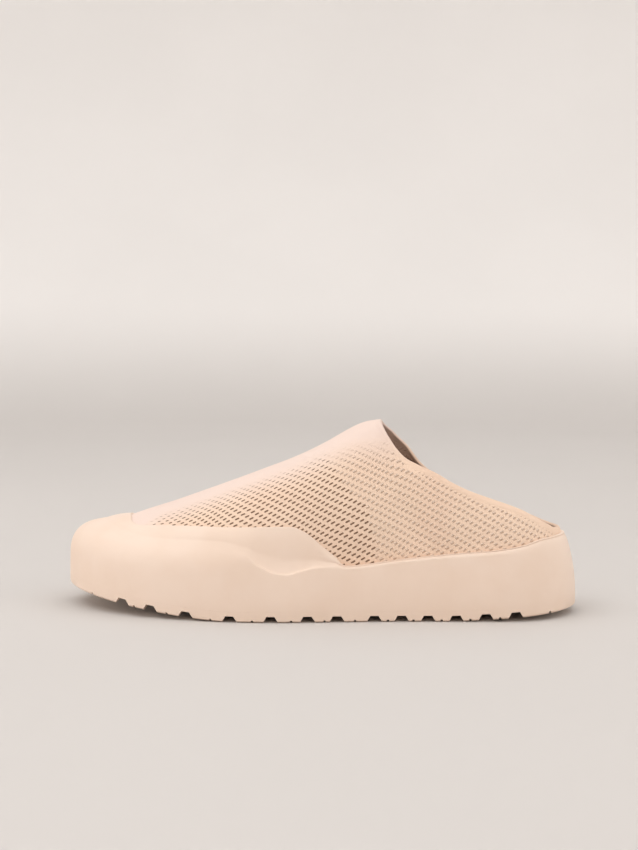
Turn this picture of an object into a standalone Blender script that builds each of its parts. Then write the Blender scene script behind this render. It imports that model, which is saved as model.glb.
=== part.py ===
"""A slip-on mule for the left foot: a knitted upper in a moulded cup sole on a lugged tread, with a footbed.

The toe points to -X and the outer side of the foot faces -Y. The shoe stands on z = 0, and the origin
is under the middle of its outline. Sizes are in metres.

Every piece is worked out on one ring of columns that runs round the shoe: toe tip, outer side, heel, inner
side. A column starts at the edge of the footbed and climbs the last to its top, which is the ridge of the
instep in front and the rim of the collar behind.
"""

import math
from types import SimpleNamespace

import bmesh
import bpy
import numpy as np

# Overall sizes
LENGTH = 0.296
BALL_WIDTH = 0.109
COLLAR_PEAK_HEIGHT = 0.110
RIM_HEIGHT = 0.044

# Plan of the sole: how far the round of the toe and of the heel reach
TOE_REACH = 0.080
HEEL_REACH = 0.042

# Outsole
OUTSOLE_THICKNESS = 0.0058
TOE_SPRING = 0.0125
TOE_SPRING_REACH = 0.100
TOE_SPRING_POWER = 1.35
HEEL_RISE = 0.0048
HEEL_RISE_REACH = 0.070
HEEL_RISE_POWER = 1.2
TREAD_EDGE_BEVEL = 0.0009
LUG_DEPTH = 0.0034
GROOVE_MOUTH = 0.0080
GROOVE_ROOT = 0.0046
SIPE_WIDTH = 0.0013
SIPE_DEPTH = 0.0013
SIPE_REACH = 0.014
CHANNEL_MOUTH = 0.0070
CHANNEL_ROOT = 0.0045
CHANNEL_DEPTH = 0.0031

# Cup sole: wall, toe rand and the floor of its well
HEEL_FLOOR_HEIGHT = 0.026
WALL_LEAN = 0.0040
WALL_INSET = 0.0003
WALL_FOOT_HEIGHT = 0.0035
LEAN_BELOW_ROLL = 0.8
SHOULDER_RADIUS = 0.014
STEP_WIDTH = 0.0020
ROLL_LIMIT = 0.6
RAND_LIP = 0.0009
RAND_CROWN = 0.0006

# Upper
KNIT_THICKNESS = 0.0022
FEATHER_INSET = 0.0064
SIDE_BULGE = 0.0016
TOE_RIDGE_START = 0.068
RIDGE_CROWDING = 1.15
COLLAR_LENGTH = 0.1023
COLLAR_SETBACK = 0.0092
COLLAR_WIDTH = 0.056
COLLAR_SQUARENESS_FRONT = 3.8
COLLAR_SQUARENESS_BACK = 2.1
COLLAR_CROWDING = 0.05
TOE_COVER = 0.031

# Footbed
INSOLE_THICKNESS = 0.0045
INSOLE_HEEL_DISH = 0.0016
INSOLE_DISH_START = 0.6
INSOLE_DISH_END = 0.9

# Clearance between pieces that touch, and between the footbed and the knit
GAP = 0.0003
FOOTBED_GAP = 0.00045

# How finely the solids are divided
TOE_COLUMNS = 14
MIDDLE_COLUMNS = 20
HEEL_COLUMNS = 8
POLE_COLUMN = 13
PEAK_COLUMN = 22
WELL_ROWS = 5
UPPER_ROWS = 8
SHOULDER_ROWS = 4
FACE_ROWS = 2
CHANNEL_ROWS = 24
HALVINGS = 40
SLOPE_SPAN = 0.001
MERGE_DISTANCE = 1e-6
SHARP_ANGLE = math.radians(35)

# How far the cutters reach past the tread, as shares of the groove's depth and of BALL_WIDTH
CUTTER_BELOW = 0.5
CUTTER_ACROSS = 1.2

# Plan of the sole, from the toe tip (along 0) to the heel (along 1): half its width and how far its middle
# lies towards the inner side, both as shares of BALL_WIDTH, and the height of the well's floor as a share
# of HEEL_FLOOR_HEIGHT.
SOLE_PLAN = (
    dict(along=0.00, half=0.477, shift=0.108, floor=0.98),
    dict(along=0.08, half=0.477, shift=0.076, floor=0.89),
    dict(along=0.15, half=0.477, shift=0.052, floor=0.82),
    dict(along=0.25, half=0.490, shift=0.026, floor=0.77),
    dict(along=0.36, half=0.500, shift=-0.005, floor=0.76),
    dict(along=0.45, half=0.478, shift=-0.020, floor=0.79),
    dict(along=0.56, half=0.426, shift=-0.028, floor=0.86),
    dict(along=0.66, half=0.393, shift=-0.026, floor=0.93),
    dict(along=0.79, half=0.384, shift=-0.007, floor=0.99),
    dict(along=1.00, half=0.376, shift=0.004, floor=1.00),
)

# The cup's wall and rand by place along the sole. Heights are shares of RIM_HEIGHT: wall is the corner at the
# top of the side wall, edge is where the knit comes out. Round is the share of SHOULDER_RADIUS, step the
# share of STEP_WIDTH, and lean how far the wall has moved in at its top, as a share of WALL_LEAN.
CUP_PROFILE = (
    dict(along=0.000, wall=1.015, edge=1.165, round=1.00, step=0.0, lean=0.20),
    dict(along=0.050, wall=0.985, edge=1.165, round=0.95, step=0.0, lean=0.25),
    dict(along=0.100, wall=0.905, edge=1.170, round=0.80, step=0.0, lean=0.35),
    dict(along=0.170, wall=0.820, edge=1.175, round=0.62, step=0.0, lean=0.45),
    dict(along=0.223, wall=0.795, edge=1.136, round=0.58, step=0.0, lean=0.45),
    dict(along=0.330, wall=0.800, edge=1.150, round=0.45, step=0.0, lean=0.45),
    dict(along=0.380, wall=0.795, edge=1.160, round=0.22, step=0.4, lean=0.45),
    dict(along=0.408, wall=0.702, edge=1.168, round=0.08, step=1.0, lean=0.45),
    dict(along=0.435, wall=0.618, edge=1.174, round=0.07, step=1.0, lean=0.45),
    dict(along=0.458, wall=0.600, edge=1.172, round=0.07, step=1.0, lean=0.45),
    dict(along=0.482, wall=0.640, edge=1.118, round=0.07, step=1.0, lean=0.45),
    dict(along=0.517, wall=0.690, edge=0.955, round=0.07, step=0.8, lean=0.45),
    dict(along=0.545, wall=0.690, edge=0.815, round=0.08, step=0.4, lean=0.45),
    dict(along=0.568, wall=0.678, edge=0.692, round=0.09, step=0.0, lean=0.45),
    dict(along=0.666, wall=0.754, edge=0.768, round=0.09, step=0.0, lean=0.50),
    dict(along=0.757, wall=0.818, edge=0.832, round=0.11, step=0.0, lean=0.55),
    dict(along=0.851, wall=0.872, edge=0.886, round=0.16, step=0.0, lean=0.65),
    dict(along=0.905, wall=0.925, edge=0.940, round=0.30, step=0.0, lean=0.75),
    dict(along=0.944, wall=0.965, edge=1.000, round=0.54, step=0.0, lean=0.98),
    dict(along=1.000, wall=0.970, edge=1.022, round=0.76, step=0.0, lean=1.22),
)

# How far in over the toe the rand reaches before the knit comes out, as shares of TOE_COVER, and how much
# this rule holds there rather than the height of the knit's edge.
TOE_EDGE = (
    dict(along=0.000, cover=1.00, holds=1.0),
    dict(along=0.010, cover=0.955, holds=1.0),
    dict(along=0.040, cover=0.79, holds=1.0),
    dict(along=0.090, cover=0.53, holds=1.0),
    dict(along=0.140, cover=0.30, holds=0.6),
    dict(along=0.200, cover=0.12, holds=0.0),
    dict(along=1.000, cover=0.12, holds=0.0),
)

# The ridge of the instep, from where the columns round the toe meet (along 0) to the collar's peak (along 1).
# Height is a share of the climb from RIM_HEIGHT to COLLAR_PEAK_HEIGHT.
RIDGE = (
    dict(along=0.00, height=0.267),
    dict(along=0.15, height=0.363),
    dict(along=0.30, height=0.460),
    dict(along=0.45, height=0.563),
    dict(along=0.58, height=0.650),
    dict(along=0.70, height=0.750),
    dict(along=0.79, height=0.843),
    dict(along=0.87, height=0.922),
    dict(along=0.94, height=0.968),
    dict(along=1.00, height=0.977),
)

# The rim of the collar by how far round it is, from its peak (along 0) to the back of the heel (along 1).
# Heights are shares of the climb from RIM_HEIGHT to COLLAR_PEAK_HEIGHT, and droop is how steeply the knit
# falls away outside the rim, in degrees.
COLLAR_RIM = (
    dict(along=0.000, outer=0.977, inner=0.977, droop=0.0),
    dict(along=0.017, outer=0.970, inner=0.965, droop=16.0),
    dict(along=0.054, outer=0.950, inner=0.940, droop=31.0),
    dict(along=0.100, outer=0.908, inner=0.905, droop=44.0),
    dict(along=0.150, outer=0.847, inner=0.863, droop=54.0),
    dict(along=0.200, outer=0.763, inner=0.797, droop=60.0),
    dict(along=0.250, outer=0.680, inner=0.720, droop=64.0),
    dict(along=0.311, outer=0.608, inner=0.575, droop=66.0),
    dict(along=0.375, outer=0.537, inner=0.473, droop=66.0),
    dict(along=0.436, outer=0.452, inner=0.388, droop=62.0),
    dict(along=0.500, outer=0.380, inner=0.323, droop=58.0),
    dict(along=0.564, outer=0.325, inner=0.262, droop=56.0),
    dict(along=0.631, outer=0.272, inner=0.210, droop=56.0),
    dict(along=0.690, outer=0.222, inner=0.172, droop=58.0),
    dict(along=0.752, outer=0.155, inner=0.125, droop=62.0),
    dict(along=0.817, outer=0.100, inner=0.082, droop=68.0),
    dict(along=0.880, outer=0.067, inner=0.058, droop=74.0),
    dict(along=1.000, outer=0.050, inner=0.050, droop=78.0),
)

# How the knit rounds over from the footbed's edge to its top, by place along the sole: the pull of the
# wall upwards as a share of the column's height, the pull of the top outwards as a share of its length, and
# the bulge of the side as a share of SIDE_BULGE.
LAST_SECTIONS = (
    dict(along=0.00, wall_pull=0.52, top_pull=0.28, bulge=0.0),
    dict(along=0.10, wall_pull=0.54, top_pull=0.34, bulge=0.4),
    dict(along=0.25, wall_pull=0.53, top_pull=0.46, bulge=1.0),
    dict(along=0.40, wall_pull=0.49, top_pull=0.41, bulge=1.0),
    dict(along=0.55, wall_pull=0.40, top_pull=0.31, bulge=0.8),
    dict(along=0.70, wall_pull=0.37, top_pull=0.30, bulge=0.8),
    dict(along=0.85, wall_pull=0.37, top_pull=0.32, bulge=1.2),
    dict(along=1.00, wall_pull=0.35, top_pull=0.32, bulge=0.6),
)

# The footbed from its underside up: how far in from its edge, how high as a share of INSOLE_THICKNESS, and
# how much of the heel's dish it takes.
INSOLE_ROWS = (
    dict(inset=0.0006, height=0.0, dish=0.0),
    dict(inset=0.0, height=0.2, dish=0.0),
    dict(inset=0.0, height=0.8, dish=1.0),
    dict(inset=0.0010, height=1.0, dish=1.0),
    dict(inset=0.0100, height=1.0, dish=0.2),
)

# Grooves and sipes that reach the sides of the tread, as shares of LENGTH from the toe
GROOVES = (0.139, 0.197, 0.267, 0.351, 0.428, 0.496, 0.550, 0.619, 0.669, 0.718, 0.770, 0.825, 0.880)
SIPES = (0.072, 0.164, 0.230, 0.315, 0.394, 0.466, 0.527, 0.583, 0.644, 0.691, 0.743, 0.796, 0.851, 0.945)
CHANNEL_START = 0.060
CHANNEL_END = 0.930


def along_curve(table, column, at):
    """The smooth curve through one column of a table, with no overshoot between its rows."""
    x = np.array([row["along"] for row in table])
    y = np.array([row[column] for row in table])
    step = np.diff(x)
    slope = np.diff(y) / step
    before, after = slope[:-1], slope[1:]
    heavy, light = 2 * step[1:] + step[:-1], step[1:] + 2 * step[:-1]
    turning = before * after <= 0
    safe_before = np.where(turning, 1.0, before)
    safe_after = np.where(turning, 1.0, after)
    inner = (heavy + light) / (heavy / safe_before + light / safe_after)
    tangent = np.concatenate([slope[:1], np.where(turning, 0.0, inner), slope[-1:]])
    at = np.clip(at, x[0], x[-1])
    i = np.clip(np.searchsorted(x, at, side="right") - 1, 0, len(step) - 1)
    t = (at - x[i]) / step[i]
    return (
        (1 + 2 * t) * (1 - t) ** 2 * y[i]
        + t * (1 - t) ** 2 * step[i] * tangent[i]
        + t * t * (3 - 2 * t) * y[i + 1]
        + t * t * (t - 1) * step[i] * tangent[i + 1]
    )


def fair_curve(table, column, at):
    """The curve through one column of a table that bends as evenly as a drawn spline, with free ends."""
    x = np.array([row["along"] for row in table])
    y = np.array([row[column] for row in table])
    step = np.diff(x)
    slope = np.diff(y) / step
    inner = np.arange(1, len(x) - 1)
    equations = np.eye(len(x))
    equations[inner, inner - 1] = step[:-1]
    equations[inner, inner] = 2 * (step[:-1] + step[1:])
    equations[inner, inner + 1] = step[1:]
    bending = np.linalg.solve(equations, np.concatenate([[0], 6 * np.diff(slope), [0]]))
    at = np.clip(at, x[0], x[-1])
    i = np.clip(np.searchsorted(x, at, side="right") - 1, 0, len(step) - 1)
    left = at - x[i]
    right = x[i + 1] - at
    bent = (bending[i] * right**3 + bending[i + 1] * left**3) / (6 * step[i])
    from_left = (y[i] / step[i] - bending[i] * step[i] / 6) * right
    from_right = (y[i + 1] / step[i] - bending[i + 1] * step[i] / 6) * left
    return bent + from_left + from_right


def unit(vectors):
    """Vectors of length 1 with the same directions."""
    return vectors / np.linalg.norm(vectors, axis=-1, keepdims=True)


def side_stations():
    """Distances from the toe tip of the columns down one side, in equal turns round the toe and heel."""
    toe = TOE_REACH * (1 - np.cos(np.linspace(0, math.pi / 2, TOE_COLUMNS + 1)))
    heel = LENGTH - HEEL_REACH * (1 - np.cos(np.linspace(math.pi / 2, 0, HEEL_COLUMNS + 1)))
    middle = np.linspace(toe[-1], heel[0], MIDDLE_COLUMNS + 1)
    return np.concatenate([toe, middle[1:-1], heel])


def half_width(station):
    """Half the sole's width, closed by a quarter ellipse at the toe and another at the heel."""
    toe = np.clip(1 - station / TOE_REACH, 0, 1)
    heel = np.clip(1 - (LENGTH - station) / HEEL_REACH, 0, 1)
    ends = np.sqrt(1 - toe**2) * np.sqrt(1 - heel**2)
    return BALL_WIDTH * fair_curve(SOLE_PLAN, "half", station / LENGTH) * ends


def sole_ring():
    """The sole's outline as a ring of columns: station along the shoe, point, outward direction and side."""
    down = side_stations()
    station = np.concatenate([down, down[-2:0:-1]])
    last = len(down) - 1
    index = np.arange(len(station))
    side = np.where(index <= last, -1.0, 1.0)
    middle = BALL_WIDTH * fair_curve(SOLE_PLAN, "shift", station / LENGTH)
    y = middle + side * half_width(station)
    shift = (y.max() + y.min()) / 2
    point = np.stack([station - LENGTH / 2, y - shift], axis=1)
    tangent = unit(np.roll(point, -1, axis=0) - np.roll(point, 1, axis=0))
    outward = np.stack([tangent[:, 1], -tangent[:, 0]], axis=1)
    if outward[0, 0] > 0:
        outward = -outward
    return SimpleNamespace(
        station=station,
        along=station / LENGTH,
        point=point,
        outward=outward,
        side=side,
        shift=shift,
        rung=np.minimum(index, len(station) - index),
        last=last,
    )


def bottom_height(station):
    """Height of the tread above the floor: the toe springs up, and the heel rises a little at the back."""
    toe = np.clip(1 - station / TOE_SPRING_REACH, 0, None)
    heel = np.clip(1 - (LENGTH - station) / HEEL_RISE_REACH, 0, None)
    return TOE_SPRING * toe**TOE_SPRING_POWER + HEEL_RISE * heel**HEEL_RISE_POWER


def placed(ring, inset, height):
    """The ring moved in by inset and lifted to height, as points in space."""
    flat = ring.point - ring.outward * np.broadcast_to(inset, len(ring.station))[:, None]
    return np.column_stack([flat, np.broadcast_to(height, len(flat))])


def ridge_middle(station):
    """Where the ridge of the instep lies across the shoe."""
    return BALL_WIDTH * fair_curve(SOLE_PLAN, "shift", station / LENGTH)


def column_tops(ring):
    """Top of each column, how it falls away there and how the ridge rises there."""
    rung = ring.rung
    front = rung <= PEAK_COLUMN
    back = LENGTH - COLLAR_SETBACK
    peak = back - COLLAR_LENGTH
    share = np.clip((rung - POLE_COLUMN) / (PEAK_COLUMN - POLE_COLUMN), 0, 1) ** RIDGE_CROWDING
    ridge_x = TOE_RIDGE_START + (peak - TOE_RIDGE_START) * share
    climb = COLLAR_PEAK_HEIGHT - RIM_HEIGHT
    ridge_z = RIM_HEIGHT + climb * fair_curve(RIDGE, "height", share)
    past = np.clip((rung - PEAK_COLUMN) / (ring.last - PEAK_COLUMN), 0, 1)
    turned = past**3 * (1 + COLLAR_CROWDING) / (past**2 + COLLAR_CROWDING)
    across = np.cos(math.pi * turned)
    rim_share = (1 - across) / 2
    squareness = COLLAR_SQUARENESS_FRONT + (COLLAR_SQUARENESS_BACK - COLLAR_SQUARENESS_FRONT) * turned
    rim_half = COLLAR_WIDTH / 2 * (1 - np.abs(across) ** squareness) ** (1 / squareness)
    outer = along_curve(COLLAR_RIM, "outer", turned)
    inner = along_curve(COLLAR_RIM, "inner", turned)
    rim_z = RIM_HEIGHT + climb * np.where(ring.side < 0, outer, inner)
    station = np.where(front, ridge_x, peak + COLLAR_LENGTH * rim_share)
    y = ridge_middle(station) - ring.shift + ring.side * np.where(front, 0, rim_half)
    top = np.column_stack([station - LENGTH / 2, y, np.where(front, ridge_z, rim_z)])
    droop = np.radians(np.where(front, 0, along_curve(COLLAR_RIM, "droop", turned)))
    before = np.clip(share - SLOPE_SPAN, 0, 1)
    after = np.clip(share + SLOPE_SPAN, 0, 1)
    lifted = climb * (fair_curve(RIDGE, "height", after) - fair_curve(RIDGE, "height", before))
    rise = np.where(front, lifted / ((after - before) * (peak - TOE_RIDGE_START)), 0)
    return top, droop, rise


def last_handles(ring):
    """The four control points of each column: foot, wall handle, top handle and top."""
    floor = HEEL_FLOOR_HEIGHT * fair_curve(SOLE_PLAN, "floor", ring.along)
    foot = placed(ring, FEATHER_INSET, floor + GAP)
    top, droop, rise = column_tops(ring)
    reach = np.linalg.norm(top - foot, axis=1)
    outward = unit(foot[:, :2] - top[:, :2] + ring.outward * FEATHER_INSET)
    bulge = SIDE_BULGE * fair_curve(LAST_SECTIONS, "bulge", ring.along)
    wall_pull = (top - foot)[:, 2] * fair_curve(LAST_SECTIONS, "wall_pull", ring.along)
    top_pull = reach * fair_curve(LAST_SECTIONS, "top_pull", ring.along)
    wall = foot + np.column_stack([ring.outward * bulge[:, None], wall_pull])
    fall = np.tan(droop) - rise * outward[:, 0]
    over = unit(np.column_stack([outward, -fall]))
    return foot, wall, top + over * top_pull[:, None], top


def on_column(handles, share):
    """Points at a share of the way up each column, on its cubic curve."""
    foot, wall, over, top = handles
    t = np.asarray(share)[:, None]
    return foot * (1 - t) ** 3 + 3 * wall * t * (1 - t) ** 2 + 3 * over * t * t * (1 - t) + top * t**3


def share_where(handles, measure, wanted):
    """How far up each column a measure of its points reaches a wanted value, found by halving."""
    low, high = np.zeros(len(wanted)), np.ones(len(wanted))
    for _ in range(HALVINGS):
        middle = (low + high) / 2
        short = measure(on_column(handles, middle)) < wanted
        low, high = np.where(short, middle, low), np.where(short, high, middle)
    return (low + high) / 2


def height_of(points):
    """Heights of points."""
    return points[:, 2]


def knit_edge(ring, handles):
    """How far up each column the knit comes out of the sole: by its height, and over the toe by its cover."""
    by_height = share_where(handles, height_of, RIM_HEIGHT * along_curve(CUP_PROFILE, "edge", ring.along))
    cover = TOE_COVER * along_curve(TOE_EDGE, "cover", ring.along)
    foot = handles[0][:, :2]
    by_cover = share_where(handles, lambda points: np.linalg.norm(points[:, :2] - foot, axis=1), cover)
    holds = along_curve(TOE_EDGE, "holds", ring.along)
    return by_height * (1 - holds) + by_cover * holds


def last_surface(ring):
    """Outer face of the knit as a grid of rows by columns, with its outward directions."""
    handles = last_handles(ring)
    edge = knit_edge(ring, handles)
    well = [edge * row / WELL_ROWS for row in range(WELL_ROWS + 1)]
    above = [edge + (1 - edge) * row / UPPER_ROWS for row in range(1, UPPER_ROWS + 1)]
    grid = np.stack([on_column(handles, share) for share in well + above])
    round_ring = np.roll(grid, -1, axis=1) - np.roll(grid, 1, axis=1)
    up = np.gradient(grid, axis=0)
    normal = np.cross(up, round_ring)
    if normal[0, 0, 0] > 0:
        normal = -normal
    rise = column_tops(ring)[2]
    ridge_normal = np.column_stack([-rise, np.zeros(len(rise)), np.ones(len(rise))])
    normal[-1] = np.where((ring.rung <= PEAK_COLUMN)[:, None], ridge_normal, normal[-1])
    return grid, unit(normal)


def bridge(mesh, first, second, columns):
    """Four-sided faces between two rows of vertices, round the given columns."""
    for k in columns:
        after = (k + 1) % len(first)
        mesh.faces.new((first[k], first[after], second[after], second[k]))


def cap(mesh, row):
    """Closes a ring with strips across the shoe, from each outer-side column to the inner-side one."""
    last = len(row) // 2
    for k in range(last):
        corners = [row[k], row[k + 1], row[-k - 1 if k + 1 < last else last], row[-k if k else 0]]
        unique = list(dict.fromkeys(corners))
        mesh.faces.new(unique)


def finished(name, mesh, material):
    """Adds the mesh to the scene as an object of the part, closed and facing outwards."""
    bmesh.ops.remove_doubles(mesh, verts=mesh.verts, dist=MERGE_DISTANCE)
    bmesh.ops.triangulate(mesh, faces=[face for face in mesh.faces if len(face.verts) > 3])
    bmesh.ops.recalc_face_normals(mesh, faces=mesh.faces)
    data = bpy.data.meshes.new(name)
    mesh.to_mesh(data)
    mesh.free()
    made = bpy.data.objects.new(name, data)
    bpy.data.collections["mule"].objects.link(made)
    data.materials.append(material)
    data.shade_smooth()
    data.set_sharp_from_angle(angle=SHARP_ANGLE)
    return made


def skin(name, rows, material):
    """A solid from a stack of rings, capped across the shoe at both ends."""
    mesh = bmesh.new()
    made = [[mesh.verts.new(point) for point in row] for row in rows]
    for first, second in zip(made, made[1:]):
        bridge(mesh, first, second, range(len(first)))
    cap(mesh, made[0])
    cap(mesh, made[-1])
    return finished(name, mesh, material)


def upper(ring, grid, normal, material):
    """The knit: one hollow wall, open at the collar and underneath."""
    inside = grid - normal * KNIT_THICKNESS
    inside[0, :, 2] = grid[0, :, 2]
    mesh = bmesh.new()
    outer = [[mesh.verts.new(point) for point in row] for row in grid]
    inner = [[mesh.verts.new(point) for point in row] for row in inside]
    columns = range(len(ring.station))
    for wall in (outer, inner):
        for first, second in zip(wall, wall[1:]):
            bridge(mesh, first, second, columns)
    bridge(mesh, outer[0], inner[0], columns)
    rim = [k for k in columns if PEAK_COLUMN <= k < len(ring.station) - PEAK_COLUMN]
    bridge(mesh, outer[-1], inner[-1], rim)
    return finished("upper", mesh, material)


def midsole(ring, grid, normal, material):
    """The cup: a side wall, a rounded shoulder or a small step, the rand's face, its lip and the well."""
    wall = RIM_HEIGHT * along_curve(CUP_PROFILE, "wall", ring.along)
    lean = WALL_LEAN * along_curve(CUP_PROFILE, "lean", ring.along)
    radius = SHOULDER_RADIUS * along_curve(CUP_PROFILE, "round", ring.along)
    step = STEP_WIDTH * along_curve(CUP_PROFILE, "step", ring.along)
    under = bottom_height(ring.station) + OUTSOLE_THICKNESS + GAP
    lip = grid[WELL_ROWS] + normal[WELL_ROWS] * (GAP + RAND_LIP)
    corner = placed(ring, lean, wall)
    below = placed(ring, WALL_INSET + (lean - WALL_INSET) * LEAN_BELOW_ROLL, wall - radius)
    face = unit(lip - corner)
    rolled = np.minimum(radius, np.linalg.norm(lip - corner, axis=1) * ROLL_LIMIT)
    inward = np.column_stack([-ring.outward, np.zeros(len(wall))])
    start = corner + face * rolled[:, None] + inward * step[:, None]
    rows = [
        placed(ring, 2 * WALL_INSET, under),
        placed(ring, WALL_INSET, under + WALL_FOOT_HEIGHT),
        placed(ring, WALL_INSET, (under + wall - radius) / 2),
    ]
    for row in range(SHOULDER_ROWS + 1):
        t = row / SHOULDER_ROWS
        rows.append(below * (1 - t) ** 2 + 2 * corner * t * (1 - t) + start * t * t)
    for row in range(1, FACE_ROWS):
        t = row / FACE_ROWS
        crown = normal[WELL_ROWS] * RAND_CROWN * 4 * t * (1 - t)
        rows.append(start * (1 - t) + lip * t + crown)
    rows.append(lip)
    rows += [grid[row] + normal[row] * GAP for row in range(WELL_ROWS, -1, -1)]
    rows[-1][:, 2] -= GAP
    return skin("midsole", rows, material)


def insole(ring, grid, material):
    """The footbed: it fills the well inside the knit, and its edge rises a little round the heel."""
    handles = last_handles(ring)
    floor = grid[0, :, 2]
    heel = np.clip((ring.along - INSOLE_DISH_START) / (INSOLE_DISH_END - INSOLE_DISH_START), 0, 1)
    dish = INSOLE_HEEL_DISH * heel * heel * (3 - 2 * heel)
    rows = []
    for part in INSOLE_ROWS:
        level = floor + INSOLE_THICKNESS * part["height"] + dish * part["dish"]
        row = on_column(handles, share_where(handles, height_of, level))
        row[:, :2] -= ring.outward * (KNIT_THICKNESS + FOOTBED_GAP + part["inset"])
        row[:, 2] = level
        rows.append(row)
    return skin("insole", rows, material)


def add_prism(mesh, centre, turn, reach, mouth, root, depth):
    """A groove cutter: a box across the shoe that narrows upwards, set square to the tread."""
    made = bmesh.ops.create_cube(mesh, size=1)["verts"]
    for vert in made:
        upper_half = vert.co.z > 0
        width = root if upper_half else mouth + (mouth - root) * CUTTER_BELOW
        x = vert.co.x * width
        z = depth if upper_half else -depth * CUTTER_BELOW
        vert.co = (
            centre[0] + x * math.cos(turn) - z * math.sin(turn),
            centre[1] + vert.co.y * reach,
            centre[2] + x * math.sin(turn) + z * math.cos(turn),
        )


def tread_slope(station):
    """Angle of the tread to the floor at a station."""
    tiny = 0.001
    rise = bottom_height(np.array([station + tiny])) - bottom_height(np.array([station - tiny]))
    return math.atan2(float(rise[0]), 2 * tiny)


def cutter(name, mesh):
    """Adds a hidden cutter."""
    bmesh.ops.recalc_face_normals(mesh, faces=mesh.faces)
    data = bpy.data.meshes.new(name)
    mesh.to_mesh(data)
    mesh.free()
    made = bpy.data.objects.new(name, data)
    made.hide_render = True
    made.display_type = "WIRE"
    bpy.data.collections["cutters"].objects.link(made)
    return made


def groove_cutter(ring):
    """Grooves right across the tread, and short sipes in from both of its sides."""
    mesh = bmesh.new()
    across = BALL_WIDTH * CUTTER_ACROSS
    for share in GROOVES:
        station = share * LENGTH
        height = float(bottom_height(np.array([station]))[0])
        centre = (station - LENGTH / 2, 0, height)
        add_prism(mesh, centre, tread_slope(station), across, GROOVE_MOUTH, GROOVE_ROOT, LUG_DEPTH)
    for share in SIPES:
        station = share * LENGTH
        height = float(bottom_height(np.array([station]))[0])
        middle = float(ridge_middle(np.array([station]))[0]) - ring.shift
        edge = float(half_width(np.array([station]))[0])
        for side in (-1, 1):
            centre = (station - LENGTH / 2, middle + side * edge, height)
            add_prism(mesh, centre, tread_slope(station), 2 * SIPE_REACH, SIPE_WIDTH, SIPE_WIDTH, SIPE_DEPTH)
    return cutter("groove_cutter", mesh)


def channel_cutter(ring):
    """A channel down the middle of the tread, that bends with the sole."""
    mesh = bmesh.new()
    stations = np.linspace(CHANNEL_START * LENGTH, CHANNEL_END * LENGTH, CHANNEL_ROWS)
    rows = []
    for station in stations:
        height = float(bottom_height(np.array([station]))[0])
        middle = float(ridge_middle(np.array([station]))[0]) - ring.shift
        x = station - LENGTH / 2
        low, high = height - CHANNEL_DEPTH * CUTTER_BELOW, height + CHANNEL_DEPTH
        corners = (
            (x, middle - CHANNEL_MOUTH / 2, low),
            (x, middle + CHANNEL_MOUTH / 2, low),
            (x, middle + CHANNEL_ROOT / 2, high),
            (x, middle - CHANNEL_ROOT / 2, high),
        )
        rows.append([mesh.verts.new(corner) for corner in corners])
    for first, second in zip(rows, rows[1:]):
        bridge(mesh, first, second, range(4))
    mesh.faces.new(rows[0])
    mesh.faces.new(rows[-1])
    return cutter("channel_cutter", mesh)


def outsole(ring, material):
    """The tread: a slab with a bevelled lower edge, grooved across and down the middle."""
    bottom = bottom_height(ring.station)
    rows = [
        placed(ring, TREAD_EDGE_BEVEL, bottom),
        placed(ring, 0, bottom + TREAD_EDGE_BEVEL),
        placed(ring, 0, bottom + OUTSOLE_THICKNESS - TREAD_EDGE_BEVEL),
        placed(ring, WALL_INSET, bottom + OUTSOLE_THICKNESS),
    ]
    made = skin("outsole", rows, material)
    for tool in (groove_cutter(ring), channel_cutter(ring)):
        cut = made.modifiers.new(tool.name, "BOOLEAN")
        cut.operation = "DIFFERENCE"
        cut.solver = "EXACT"
        cut.object = tool
    return made


def surface_material(name, colour, roughness):
    """A plain finish for one piece."""
    made = bpy.data.materials.new(name)
    made.use_nodes = True
    shader = made.node_tree.nodes["Principled BSDF"]
    shader.inputs["Base Color"].default_value = (*colour, 1)
    shader.inputs["Roughness"].default_value = roughness
    shader.inputs["Metallic"].default_value = 0
    return made


def build():
    """Clears the scene and makes the four pieces of the shoe."""
    for old in list(bpy.data.objects):
        bpy.data.objects.remove(old)
    for name in ("mule", "cutters"):
        bpy.context.scene.collection.children.link(bpy.data.collections.new(name))
    ring = sole_ring()
    grid, normal = last_surface(ring)
    outsole(ring, surface_material("rubber", (0.72, 0.50, 0.35), 0.60))
    midsole(ring, grid, normal, surface_material("foam", (0.76, 0.55, 0.40), 0.55))
    upper(ring, grid, normal, surface_material("knit", (0.80, 0.56, 0.42), 0.90))
    insole(ring, grid, surface_material("footbed", (0.74, 0.52, 0.38), 0.85))


build()
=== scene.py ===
# %% [markdown]
# # A slip-on knit mule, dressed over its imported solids
#
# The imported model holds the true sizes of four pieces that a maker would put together: the tread, the cup
# sole, the knitted upper and the footbed. This lesson makes each of them again as a finely sampled surface,
# because moulded foam and knit are soft forms that facets can't show, and then gives each its finish.
#
# The toe points to -X and the outer side of the foot faces -Y. Everything is in metres.

from types import SimpleNamespace

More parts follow.
